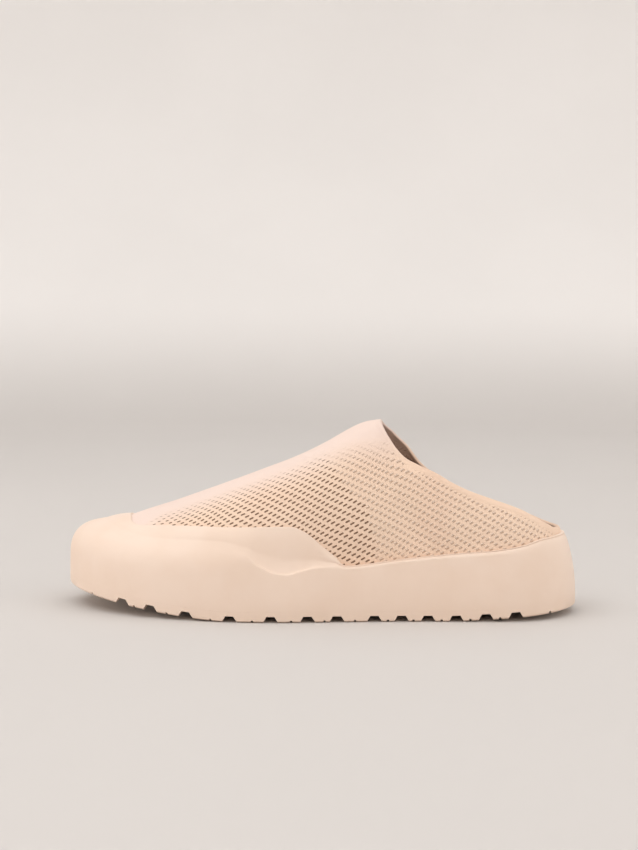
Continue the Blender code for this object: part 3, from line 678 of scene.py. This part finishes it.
# %% The upper as a mesh
def upper_mesh():
    """Outer face, turned edge and inner face in one closed wall; ridge points of both sides are one."""
    rows = np.concatenate([outer, roll, inner])
    count, columns = rows.shape[:2]
    index = np.arange(count * columns).reshape(count, columns)
    o, r = len(outer), len(roll)
    same = index.copy()
    front = np.arange(1, PEAK_RUNG * 10 + 1)
    for row in (o - 1, o + r):
        same[row, ring.mirrored[front]] = index[row, front]
    same[o : o + r, ring.mirrored[front[-1]]] = index[o : o + r, front[-1]]
    quads = [grid_quads(index[:o]), grid_quads(index[o + r :]), grid_quads(index[[-1, 0]])]
    quads.append(grid_quads(index[o - 1 : o + r + 1][:, collar], closed=False))
    fill = lambda field: np.concatenate([field, np.repeat(field[-1:], r, axis=0), field[inner_rows]]).reshape(count * columns, -1)
    values = {
        "open": fill(open_knit)[:, 0] * np.repeat([1, 0, 1], [o * columns, r * columns, len(inner) * columns]),
        # side is 0 near the ridge of the instep and round the toe front, where the closed knit's tone, partly painted
        # sheen, is used.
        "side": fill(side_knit)[:, 0],
        "panel": fill(behind_edge)[:, 0],
        # inside sets how much painted shade the finish puts on each face: none outside, some on the turned edge, full
        # on the inner face.
        "inside": np.repeat([0, 0.3, 1], [o * columns, r * columns, len(inner) * columns]),
    }
    return make_piece("knit_upper", rows.reshape(-1, 3), np.concatenate(quads), uv=fill(lattice), values=values, same=same.ravel())


upper = upper_mesh()

# %% [markdown]
# ## The cup sole
#
# The cup is one moulding of soft foam: a side wall, a broad round shoulder over the toe, a wing on each side
# that stands on a small ledge, and a thin lip where the knit comes out. Its section is given by a few control
# points on each column, joined by short round curves, and the section changes smoothly round the ring.

# %% Cup sole
WALL_LEAN, WALL_INSET = 0.0040, 0.00002
SHOULDER_RADIUS, ROLL_LIMIT = 0.014, 0.6
WING_STEP = 0.0020
RAND_LIP, RAND_CROWN, LIP_ROUND = 0.0009, 0.0006, 0.0007
SEAT_GAP, TREAD_GAP = 0.00008, 0.00002


def bend(first, control, last, count):
    """Quadratic curve from first to last, drawn towards control: weights (1-t)^2, 2t(1-t), t^2."""
    t = np.linspace(0, 1, count + 1)[:-1, None, None]
    return first * (1 - t) ** 2 + 2 * control * t * (1 - t) + last * t * t


def cup_rows():
    """Rows of the cup from the joint with the tread, up the wall, over the shoulder or ledge, to the lip and well."""
    wall = RIM_HEIGHT * curve(CUP, 1, ring.along)
    radius = SHOULDER_RADIUS * curve(CUP, 3, ring.along)
    winged = curve(CUP, 4, ring.along)[:, None]
    lean = WALL_LEAN * curve(CUP, 5, ring.along)
    under = bottom_of(ring.station) + TREAD_THICKNESS + TREAD_GAP
    half_up = (wall - radius - under) / 2
    seat = edge_points + normal[WELL_ROWS] * SEAT_GAP
    lip = edge_points + normal[WELL_ROWS] * (SEAT_GAP + RAND_LIP)
    foot, belly = at_inset(ring, WALL_INSET, under), at_inset(ring, WALL_INSET, under + half_up)
    below = at_inset(ring, WALL_INSET + (lean - WALL_INSET) * half_up / (half_up + radius), wall - radius)
    corner = at_inset(ring, lean, wall)
    span = np.linalg.norm(lip - corner, axis=1)
    face = unit(lip - corner)
    rolled = np.minimum(radius, span * ROLL_LIMIT)[:, None]
    spare = 0.15 * (span[:, None] - rolled)
    inward = np.column_stack([-ring.outward, np.zeros(len(wall))]) * WING_STEP
    over = corner + face * rolled * (1 - winged) + inward * winged * 0.5
    ledge = corner + face * (rolled + spare) * (1 - winged) + inward * winged
    face_foot = ledge + face * spare * (1 + winged)
    face_top = lip + unit(face_foot - lip) * np.minimum(LIP_ROUND, 0.3 * span)[:, None]
    t = np.linspace(0, 1, 15)[:-1, None, None]
    crown = normal[WELL_ROWS] * RAND_CROWN * 4 * t * (1 - t)
    rows = [bend(foot, belly, below, 14), bend(below, corner, over, 12), bend(over, ledge, face_foot, 8)]
    rows += [face_foot * (1 - t) + face_top * t + crown, bend(face_top, lip, seat, 6)]
    well = (whole[: WELL_ROWS + 1] + normal[: WELL_ROWS + 1] * SEAT_GAP)[::-1]
    well[-1, :, 2] -= SEAT_GAP
    return np.concatenate(rows + [well])


cup = cup_rows()
cup_index = np.arange(cup[..., 0].size).reshape(cup.shape[:2])
cup_sole = make_piece(
    "cup_sole",
    cup.reshape(-1, 3),
    np.concatenate([grid_quads(cup_index), across_quads(ring, cup_index[-1]), across_quads(ring, cup_index[0])[:, ::-1]]),
    sharp=50,
)

# %% [markdown]
# ## The tread
#
# The tread is moulded flush with the cup, so only its lugs give it away from the side: broad notches with
# sloping walls, and thin cuts between them. Below it is a height field: at each place the depth is the
# deepest of groove, cut and middle channel. The grid has its lines exactly where those begin and end, so a
# wall of a lug is one clean row of faces.

# %% Tread
GROOVES = np.array([0.139, 0.197, 0.267, 0.351, 0.428, 0.496, 0.550, 0.619, 0.669, 0.718, 0.770, 0.825, 0.880]) * LENGTH
SIPES = np.array([0.072, 0.164, 0.230, 0.315, 0.394, 0.466, 0.527, 0.583, 0.644, 0.691, 0.743, 0.796, 0.851, 0.945]) * LENGTH
LUG_DEPTH, GROOVE_MOUTH, GROOVE_ROOT = 0.0034, 0.0080, 0.0046
SIPE_WIDTH, SIPE_DEPTH, SIPE_REACH = 0.0013, 0.0013, 0.014
CHANNEL_DEPTH, CHANNEL_MOUTH, CHANNEL_ROOT = 0.0031, 0.0070, 0.0045
CHANNEL = (0.060 * LENGTH, 0.930 * LENGTH)
TREAD_BEVEL = 0.0009
HAIR = 0.0001


def slot_depth(distance, mouth, root, depth):
    """Depth of a slot with sloping walls at a distance from its middle."""
    return depth * np.clip((mouth / 2 - distance) / ((mouth - root) / 2), 0, 1)


def tread_stations():
    """Stations of the grid: those of the ring, and both edges of every wall of a groove or cut."""
    offsets = (-GROOVE_MOUTH / 2, -GROOVE_ROOT / 2, GROOVE_ROOT / 2, GROOVE_MOUTH / 2)
    cuts = (-SIPE_WIDTH / 2, HAIR - SIPE_WIDTH / 2, SIPE_WIDTH / 2 - HAIR, SIPE_WIDTH / 2)
    ends = (CHANNEL[0] - HAIR, CHANNEL[0], CHANNEL[1], CHANNEL[1] + HAIR)
    lines = np.concatenate([station_of(np.arange(RUNGS * 5 + 1) / 5), np.add.outer(GROOVES, offsets).ravel(), np.add.outer(SIPES, cuts).ravel(), ends])
    return np.unique(np.round(lines, 6))


def tread_mesh():
    """Height field below, side wall on the outline, flat top: one closed slab."""
    s = tread_stations()
    s[0], s[-1] = 0, LENGTH
    half = half_width(s)
    lines = [half, half - TREAD_BEVEL, half - SIPE_REACH, half - SIPE_REACH - HAIR, CHANNEL_MOUTH / 2 + 0 * s, CHANNEL_ROOT / 2 + 0 * s, 0 * s]
    for k in range(1, len(lines)):
        lines[k] = np.clip(lines[k], 0, lines[k - 1] * 0.97)
    off = np.stack([-line for line in lines[:-1]] + lines[::-1])
    s, half = s[None, :], half[None, :]
    depth = slot_depth(np.abs(s[..., None] - GROOVES).min(axis=-1), GROOVE_MOUTH, GROOVE_ROOT, LUG_DEPTH)
    cut = slot_depth(np.abs(s[..., None] - SIPES).min(axis=-1), SIPE_WIDTH, SIPE_WIDTH - 2 * HAIR, SIPE_DEPTH)
    depth = np.maximum(depth, cut * (np.abs(off) > half - SIPE_REACH - HAIR / 2))
    in_channel = (s >= CHANNEL[0]) & (s <= CHANNEL[1])
    depth = np.maximum(depth, slot_depth(np.abs(off), CHANNEL_MOUTH, CHANNEL_ROOT, CHANNEL_DEPTH) * in_channel)
    bevel = TREAD_BEVEL * (np.abs(off) > half - TREAD_BEVEL / 2)
    x, y = np.broadcast_arrays(s - LENGTH / 2, middle_of(s) - ring.shift + off)
    low = np.stack([x, y, bottom_of(s) + np.maximum(depth, bevel)], axis=-1)
    high = np.stack([x[[0, -1]], y[[0, -1]], np.broadcast_to(bottom_of(s) + TREAD_THICKNESS, (2, s.shape[1]))], axis=-1)
    rows = np.concatenate([high[:1], low, high[1:]])
    index = np.arange(rows[..., 0].size).reshape(rows.shape[:2])
    same = index.copy()
    same[1:-1, 0], same[1:-1, -1] = index[1, 0], index[1, -1]
    same[-1, 0], same[-1, -1] = index[0, 0], index[0, -1]
    quads = np.concatenate([grid_quads(index, closed=False), grid_quads(index[[-1, 0]], closed=False)])
    return make_piece("lugged_tread", rows.reshape(-1, 3), quads, sharp=28, same=same.ravel())


tread = tread_mesh()

# %% [markdown]
# ## The footbed
#
# A loose footbed fills the bottom of the cup. It is cut from sheet foam with a textile top, a little dished
# under the heel. Rows run up its side, round its upper edge and then inwards until both sides meet in the
# middle.

# %% Footbed
FOOTBED_THICKNESS, HEEL_DISH = 0.0045, 0.0016
DISH_FROM, DISH_TO = 0.6, 0.9
FOOTBED_GAP = 0.00045
FOOTBED_ROUND = 0.0012


def footbed_mesh():
    """Side rows follow the last at each height; top rows go from each edge point to the mirrored one."""
    floor = whole[0, :, 2]
    dish = HEEL_DISH * eased(ring.along, DISH_FROM, DISH_TO)
    turn = np.linspace(0, np.pi / 2, 6)
    heights = np.concatenate([[0, 0.1], FOOTBED_THICKNESS - FOOTBED_ROUND * (1 - np.sin(turn))])
    heights[:2] = 0, 0.0006
    insets = np.concatenate([[0.0006, 0], FOOTBED_ROUND * (1 - np.cos(turn))])
    rows = []
    for height, inset in zip(heights, insets):
        level = floor + height + dish * eased(height, 0, FOOTBED_THICKNESS)
        row = on_column(handles, share_where(handles, lambda p: p[:, 2], level))
        row[:, :2] -= ring.outward * (KNIT_THICKNESS + FOOTBED_GAP + inset)
        row[:, 2] = level
        rows.append(row)
    rim = rows[-1]
    share = np.linspace(0, 0.5, 13)[1:, None, None]
    top = rim + (rim[ring.mirrored] - rim) * share
    top[..., 2] -= (dish * eased(share[..., 0], 0, 0.22))
    rows = np.concatenate([np.stack(rows), top])
    index = np.arange(rows[..., 0].size).reshape(rows.shape[:2])
    same = index.copy()
    same[-1] = np.minimum(index[-1], index[-1][ring.mirrored])
    same[8:, 0], same[8:, ring.last] = index[8, 0], index[8, ring.last]
    quads = np.concatenate([grid_quads(index), across_quads(ring, index[0])])
    return make_piece("textile_footbed", rows.reshape(-1, 3), quads, sharp=60, same=same.ravel())


footbed = footbed_mesh()

# %% [markdown]
# ## Tools for the finishes
#
# Every finish is worked out by the renderer from the place of a point, so it has no picture to run out of. These
# few functions name the steps: plain sums, a soft step between two values, noise, a mix of two colours and
# a bump. Steady values are set on the shader itself.

# %% Short names for the steps of a finish
def new_finish(name):
    """A material, its node tree and its shader."""
    made = bpy.data.materials.new(name)
    made.use_nodes = True
    return made, made.node_tree, made.node_tree.nodes["Principled BSDF"]


def put(tree, socket, value):
    """Links a socket to another one, or sets it to a plain value."""
    if isinstance(value, bpy.types.NodeSocket):
        tree.links.new(value, socket)
    else:
        socket.default_value = value


def calc(tree, operation, *values):
    """One sum: ADD, MULTIPLY, SINE and so on."""
    node = tree.nodes.new("ShaderNodeMath")
    node.operation = operation
    for socket, value in zip(node.inputs, values):
        put(tree, socket, value)
    return node.outputs[0]


def mixed_sum(tree, first, by_first, second, by_second):
    """first * by_first + second * by_second."""
    return calc(tree, "MULTIPLY_ADD", first, by_first, calc(tree, "MULTIPLY", second, by_second))


def soft_step(tree, value, low, high, to_low=0.0, to_high=1.0):
    """A smooth step of a value from to_low at low to to_high at high."""
    node = tree.nodes.new("ShaderNodeMapRange")
    node.interpolation_type = "SMOOTHSTEP"
    for socket, number in zip(node.inputs, (value, low, high, to_low, to_high)):
        put(tree, socket, number)
    return node.outputs[0]


def noise(tree, scale, detail=3.0, stretch=(1, 1, 1)):
    """Even noise through the object, stretched along some axes if asked."""
    place = tree.nodes.new("ShaderNodeTexCoord")
    mapping = tree.nodes.new("ShaderNodeMapping")
    mapping.inputs["Scale"].default_value = stretch
    tree.links.new(place.outputs["Object"], mapping.inputs["Vector"])
    node = tree.nodes.new("ShaderNodeTexNoise")
    tree.links.new(mapping.outputs[0], node.inputs["Vector"])
    node.inputs["Scale"].default_value = scale
    node.inputs["Detail"].default_value = detail
    return node.outputs["Fac"]


def mixed(tree, share, first, second):
    """A colour between two others."""
    node = tree.nodes.new("ShaderNodeMix")
    node.data_type = "RGBA"
    put(tree, node.inputs[0], share)
    for socket, colour in ((node.inputs[6], first), (node.inputs[7], second)):
        put(tree, socket, colour if isinstance(colour, bpy.types.NodeSocket) else (*colour, 1))
    return node.outputs[2]


def bumped(tree, height, distance, below=None):
    """A bump whose height of 1 is distance metres, on top of another bump if given."""
    node = tree.nodes.new("ShaderNodeBump")
    put(tree, node.inputs["Height"], height)
    node.inputs["Distance"].default_value = distance
    node.inputs["Strength"].default_value = 1.0
    if below is not None:
        tree.links.new(below, node.inputs["Normal"])
    return node.outputs[0]


def attribute(tree, name):
    """A value kept on the mesh."""
    node = tree.nodes.new("ShaderNodeAttribute")
    node.attribute_name = name
    return node.outputs["Fac"]


print("steps ready")

# %% [markdown]
# ## The knit's finish
#
# The knit is worked with rows of small slanted eyelets. In front of a curved seam line they are open holes, and
# behind it the same eyelets are only pressed in, with a raised yarn beside each. The mesh's own map counts the
# steps of the knit, so the whole number names an eyelet and the rest of it is the place inside that eyelet's
# cell. From there it is plain geometry: turn by the eyelet's slant and measure the distance to its middle line.

# %% Knit
EYELET_SLANT = np.radians(28)
EYELET_HALF_LENGTH, EYELET_HALF_WIDTH, EYELET_SOFT = 0.00114, 0.00042, 0.00014
PRESSED_NARROWER = 0.00016
# The first colour is the closed knit's tone, paler and pinker partly as painted sheen on the top of the vamp.
KNIT_PLAIN_AND_SHEEN, KNIT_LIGHT, KNIT_DEEP = (0.850, 0.695, 0.625), (0.900, 0.690, 0.535), (0.875, 0.650, 0.500)
# Of the next four colours, the first two are painted shade in the holes and pressed eyelets, the third a painted
# highlight on the raised yarn, the fourth painted shade on the inner face.
KNIT_HOLE_SHADE, KNIT_PRESSED_SHADE, KNIT_RIDGE_HIGHLIGHT, KNIT_SHADE = (0.26, 0.150, 0.090), (0.61, 0.395, 0.270), (0.96, 0.78, 0.65), (0.36, 0.22, 0.16)


def knit_finish():
    """Eyelets from the knit map, closed where the knit is plain, over small loops and yarn noise; the holes and pressed
    eyelets are painted shade, the yarn beside them a painted highlight, the inner face painted shade.
    """
    made, tree, shader = new_finish("knit")
    weave = tree.nodes.new("ShaderNodeUVMap")
    weave.uv_map = "weave"
    split = tree.nodes.new("ShaderNodeSeparateXYZ")
    tree.links.new(weave.outputs[0], split.inputs[0])
    row, wale = split.outputs[0], split.outputs[1]
    row_off = calc(tree, "SUBTRACT", calc(tree, "FRACT", row), 0.5)
    wale_off = calc(tree, "SUBTRACT", calc(tree, "FRACT", wale), 0.5)
    ahead = mixed_sum(tree, row_off, ROW_STEP[0], wale_off, WALE_STEP[0])
    upward = mixed_sum(tree, row_off, ROW_STEP[1], wale_off, WALE_STEP[1])
    cos, sin = float(np.cos(EYELET_SLANT)), float(np.sin(EYELET_SLANT))
    lengthwise = mixed_sum(tree, ahead, cos, upward, sin)
    sideways = mixed_sum(tree, ahead, -sin, upward, cos)
    past_end = calc(tree, "MAXIMUM", calc(tree, "SUBTRACT", calc(tree, "ABSOLUTE", lengthwise), EYELET_HALF_LENGTH - EYELET_HALF_WIDTH), 0.0)
    off = calc(tree, "SQRT", mixed_sum(tree, past_end, past_end, sideways, sideways))
    open_here = attribute(tree, "open")
    shrink = calc(tree, "MULTIPLY", calc(tree, "SUBTRACT", 1.0, open_here), EYELET_HALF_WIDTH)
    off = calc(tree, "ADD", off, shrink)
    behind = calc(tree, "SUBTRACT", attribute(tree, "panel"), ahead)
    pressed = soft_step(tree, behind, -0.0003, 0.0003)
    off = calc(tree, "MULTIPLY_ADD", pressed, PRESSED_NARROWER, off)
    eyelet = soft_step(tree, off, EYELET_HALF_WIDTH + EYELET_SOFT, EYELET_HALF_WIDTH - EYELET_SOFT)
    eyelet = calc(tree, "MULTIPLY", eyelet, soft_step(tree, open_here, 0.02, 0.35))
    ridge = calc(tree, "SUBTRACT", sideways, 0.00085)
    ridge = soft_step(tree, calc(tree, "ABSOLUTE", ridge), 0.00045, 0.0)
    ridge = calc(tree, "MULTIPLY", ridge, soft_step(tree, past_end, 0.0004, 0.0))
    ridge = calc(tree, "MULTIPLY", calc(tree, "MULTIPLY", ridge, pressed), open_here)
    loops = calc(tree, "SINE", calc(tree, "MULTIPLY", wale, 2 * np.pi * 5))
    twist = calc(tree, "SINE", mixed_sum(tree, row, 2 * np.pi * 3, wale, 2 * np.pi * 2.5))
    loops = calc(tree, "MULTIPLY", calc(tree, "ADD", loops, twist), 0.5)
    yarn, patches = noise(tree, 2600, 2), noise(tree, 26, 2)
    ground = mixed(tree, soft_step(tree, patches, 0.3, 0.7), KNIT_LIGHT, KNIT_DEEP)
    # The closed knit on top of the vamp is paler and pinker, partly its own tone and partly painted sheen.
    ground = mixed(tree, attribute(tree, "side"), KNIT_PLAIN_AND_SHEEN, ground)
    ground = mixed(tree, soft_step(tree, yarn, 0.35, 0.75, 0.0, 0.35), ground, KNIT_DEEP)
    # Painted shade: the open holes and the pressed eyelets are painted darker, the holes instead of being cut.
    hole = mixed(tree, pressed, KNIT_HOLE_SHADE, KNIT_PRESSED_SHADE)
    inside = attribute(tree, "inside")
    colour = mixed(tree, calc(tree, "MULTIPLY", eyelet, calc(tree, "SUBTRACT", 1.0, calc(tree, "MULTIPLY", pressed, 0.30))), ground, hole)
    # Painted highlight: the raised yarn beside each pressed eyelet is painted lighter, on top of its bump.
    colour = mixed(tree, ridge, colour, KNIT_RIDGE_HIGHLIGHT)
    # Painted shade: the inner face, and the turned edge less so, are painted darker.
    colour = mixed(tree, calc(tree, "MULTIPLY", inside, 0.75), colour, KNIT_SHADE)
    tree.links.new(colour, shader.inputs["Base Color"])
    deep = calc(tree, "MULTIPLY", eyelet, soft_step(tree, pressed, 0.0, 1.0, -1.0, -0.6))
    small = bumped(tree, mixed_sum(tree, loops, 0.7, yarn, 0.9), 0.00006)
    tree.links.new(bumped(tree, mixed_sum(tree, deep, 1.0, ridge, 0.6), 0.0007, small), shader.inputs["Normal"])
    tree.links.new(soft_step(tree, yarn, 0.2, 0.8, 0.78, 0.94), shader.inputs["Roughness"])
    shader.inputs["Sheen Weight"].default_value = 0.22
    shader.inputs["Sheen Roughness"].default_value = 0.45
    shader.inputs["Sheen Tint"].default_value = (1.0, 0.90, 0.82, 1)
    shader.inputs["Specular IOR Level"].default_value = 0.25
    return made


knit = knit_finish()
print("eyelets are", 2000 * EYELET_HALF_LENGTH, "by", 2000 * EYELET_HALF_WIDTH, "mm")

# %% [markdown]
# ## Foam, rubber and footbed
#
# Moulded foam has a satin skin with a very fine grain, a little mottled, and its colour is made darker towards the
# ground. The tread is the same colour in a harder rubber with a coarser grain. The footbed's top is a close
# plain weave. All three are one noise for colour, one for roughness and one or two for the bump.

# %% Foam, rubber and footbed
# The third colour is the darker tone that the foam and rubber take towards the ground.
FOAM_LIGHT, FOAM_DEEP, FOAM_NEAR_GROUND = (0.870, 0.706, 0.590), (0.845, 0.672, 0.550), (0.76, 0.59, 0.46)


def moulded_finish(name, light, deep, darkening_height, grain, grain_depth, roughness):
    """Satin moulding: mottled colour, darker below a height, a fine grain and a slow unevenness of the skin."""
    made, tree, shader = new_finish(name)
    place = tree.nodes.new("ShaderNodeTexCoord")
    split = tree.nodes.new("ShaderNodeSeparateXYZ")
    tree.links.new(place.outputs["Object"], split.inputs[0])
    mottle, fine, slow = noise(tree, 38, 4), noise(tree, grain, 3), noise(tree, 60, 2)
    colour = mixed(tree, soft_step(tree, mottle, 0.3, 0.7), light, deep)
    uneven = mixed_sum(tree, mottle, 0.006, split.outputs[2], 1.0)
    # Darker towards the ground: below a wavy height the colour turns up to 30 percent towards a deeper tone.
    near_ground = soft_step(tree, uneven, darkening_height, 0.003, 0.0, 0.30)
    colour = mixed(tree, near_ground, colour, FOAM_NEAR_GROUND)
    colour = mixed(tree, soft_step(tree, fine, 0.55, 0.8, 0.0, 0.25), colour, deep)
    tree.links.new(colour, shader.inputs["Base Color"])
    skin = bumped(tree, slow, 0.00025)
    tree.links.new(bumped(tree, fine, grain_depth, skin), shader.inputs["Normal"])
    tree.links.new(soft_step(tree, mottle, 0.25, 0.75, roughness - 0.06, roughness + 0.08), shader.inputs["Roughness"])
    shader.inputs["Specular IOR Level"].default_value = 0.38
    shader.inputs["Coat Weight"].default_value = 0.05
    shader.inputs["Coat Roughness"].default_value = 0.45
    return made


def footbed_finish():
    """A close plain weave: two crossed sets of waves, brushed a little by noise."""
    made, tree, shader = new_finish("footbed")
    place = tree.nodes.new("ShaderNodeTexCoord")
    split = tree.nodes.new("ShaderNodeSeparateXYZ")
    tree.links.new(place.outputs["Object"], split.inputs[0])
    threads = [calc(tree, "SINE", calc(tree, "MULTIPLY", split.outputs[k], 2 * np.pi / 0.0011)) for k in (0, 1)]
    weave = calc(tree, "MULTIPLY", *threads)
    brushed, patches = noise(tree, 1800, 2), noise(tree, 30, 3)
    colour = mixed(tree, soft_step(tree, weave, -0.8, 0.8), (0.60, 0.43, 0.34), (0.70, 0.52, 0.42))
    colour = mixed(tree, soft_step(tree, patches, 0.35, 0.75, 0.0, 0.5), colour, (0.62, 0.45, 0.37))
    tree.links.new(colour, shader.inputs["Base Color"])
    tree.links.new(bumped(tree, mixed_sum(tree, weave, 0.5, brushed, 0.7), 0.00015), shader.inputs["Normal"])
    tree.links.new(soft_step(tree, brushed, 0.2, 0.8, 0.80, 0.95), shader.inputs["Roughness"])
    shader.inputs["Sheen Weight"].default_value = 0.2
    return made


foam = moulded_finish("foam", FOAM_LIGHT, FOAM_DEEP, 0.016, 2400, 0.00003, 0.52)
rubber = moulded_finish("rubber", FOAM_LIGHT, FOAM_DEEP, 0.016, 1300, 0.00007, 0.62)
textile = footbed_finish()
for piece, finish, slot, node in (
    (upper, knit, "knit", "upper"),
    (cup_sole, foam, "foam", "midsole"),
    (tread, rubber, "rubber", "outsole"),
    (footbed, textile, "footbed", "insole"),
):
    piece.data.materials.append(finish)
    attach(piece, "root")
    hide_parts(node)
print("finishes:", [material.name for material in (knit, foam, rubber, textile)])

# %% [markdown]
# ## Floor and light
#
# The photograph has one even, warm grey paper that sweeps up behind the shoe, and light from all round with a
# soft stronger part from the upper left. So the floor is a wide shallow bowl whose wall rises without an edge,
# the surroundings give most of the light, and one big panel gives the rest.

# %% Floor
FLOOR_RADIUS, SWEEP_RADIUS, WALL_TOP = 1.6, 0.9, 2.6


FLOOR_DROP = 0.0001


def sweep_mesh():
    """Rings of points: flat out to the floor's radius, then a quarter circle up, then straight up."""
    turn = np.linspace(0, np.pi / 2, 17)[1:]
    rho = np.concatenate([np.linspace(0.05, FLOOR_RADIUS, 12), FLOOR_RADIUS + SWEEP_RADIUS * np.sin(turn), [FLOOR_RADIUS + SWEEP_RADIUS]])
    height = np.concatenate([np.zeros(12), SWEEP_RADIUS * (1 - np.cos(turn)), [WALL_TOP]]) - FLOOR_DROP
    angle = np.linspace(0, 2 * np.pi, 97)[:-1]
    points = np.stack([np.outer(rho, np.cos(angle)), np.outer(rho, np.sin(angle)), np.repeat(height[:, None], 96, axis=1)], axis=-1)
    index = np.arange(points[..., 0].size).reshape(points.shape[:2])
    data = bpy.data.meshes.new("floor")
    data.from_pydata(points.reshape(-1, 3), [], grid_quads(index)[:, ::-1].tolist() + [index[0].tolist()])
    data.shade_smooth()
    made = bpy.data.objects.new("floor", data)
    bpy.context.collection.objects.link(made)
    return made


def paper_finish():
    """Paper with a faint tooth; its tone rises a little with height, as the wall gets less light."""
    made, tree, shader = new_finish("paper")
    place = tree.nodes.new("ShaderNodeTexCoord")
    split = tree.nodes.new("ShaderNodeSeparateXYZ")
    tree.links.new(place.outputs["Object"], split.inputs[0])
    cloudy = noise(tree, 3, 2)
    tone = mixed(tree, soft_step(tree, split.outputs[2], -0.02, 0.22), PAPER_LOW, PAPER_HIGH)
    tone = mixed(tree, soft_step(tree, cloudy, 0.35, 0.65, 0.0, 0.04), tone, (0.5, 0.48, 0.46))
    tree.links.new(tone, shader.inputs["Base Color"])
    tree.links.new(bumped(tree, noise(tree, 500, 2), 0.00002), shader.inputs["Normal"])
    shader.inputs["Roughness"].default_value = 0.95
    shader.inputs["Specular IOR Level"].default_value = 0.1
    return made


PAPER_LOW, PAPER_HIGH = (0.640, 0.612, 0.590), (0.89, 0.865, 0.845)
floor = sweep_mesh()
floor.data.materials.append(paper_finish())
print("floor rings:", len(floor.data.vertices) // 96)

# %% Light
LIGHTS = (  # name, size across and up, watts, place, aimed at, colour
    ("key", (1.3, 1.0), 4.1, (-0.80, -0.55, 1.30), (0.0, 0.0, 0.03), (1.0, 0.975, 0.96)),
    ("toe fill", (0.9, 0.4), 2.0, (-1.05, -0.40, 0.24), (-0.12, 0.0, 0.01), (1.0, 0.975, 0.96)),
    ("heel fill", (0.8, 0.6), 2.2, (1.10, -0.45, 0.55), (0.12, 0.0, 0.03), (1.0, 0.98, 0.965)),
)


def panel_light(name, size, watts, place, target, colour):
    """A rectangular soft light that looks from its place at a target."""
    data = bpy.data.lights.new(name, "AREA")
    data.shape, data.size, data.size_y = "RECTANGLE", size[0], size[1]
    data.energy, data.color = watts, colour
    made = bpy.data.objects.new(name, data)
    made.location = place
    made.rotation_euler = (Vector(target) - Vector(place)).to_track_quat("-Z", "Y").to_euler()
    bpy.context.collection.objects.link(made)


for light in LIGHTS:
    panel_light(*light)
studio = bpy.data.worlds.new("studio")
bpy.context.scene.world = studio
studio.use_nodes = True
studio.node_tree.nodes["Background"].inputs["Color"].default_value = (1.0, 0.985, 0.97, 1)
studio.node_tree.nodes["Background"].inputs["Strength"].default_value = 1.18
print("lights:", [light[0] for light in LIGHTS])
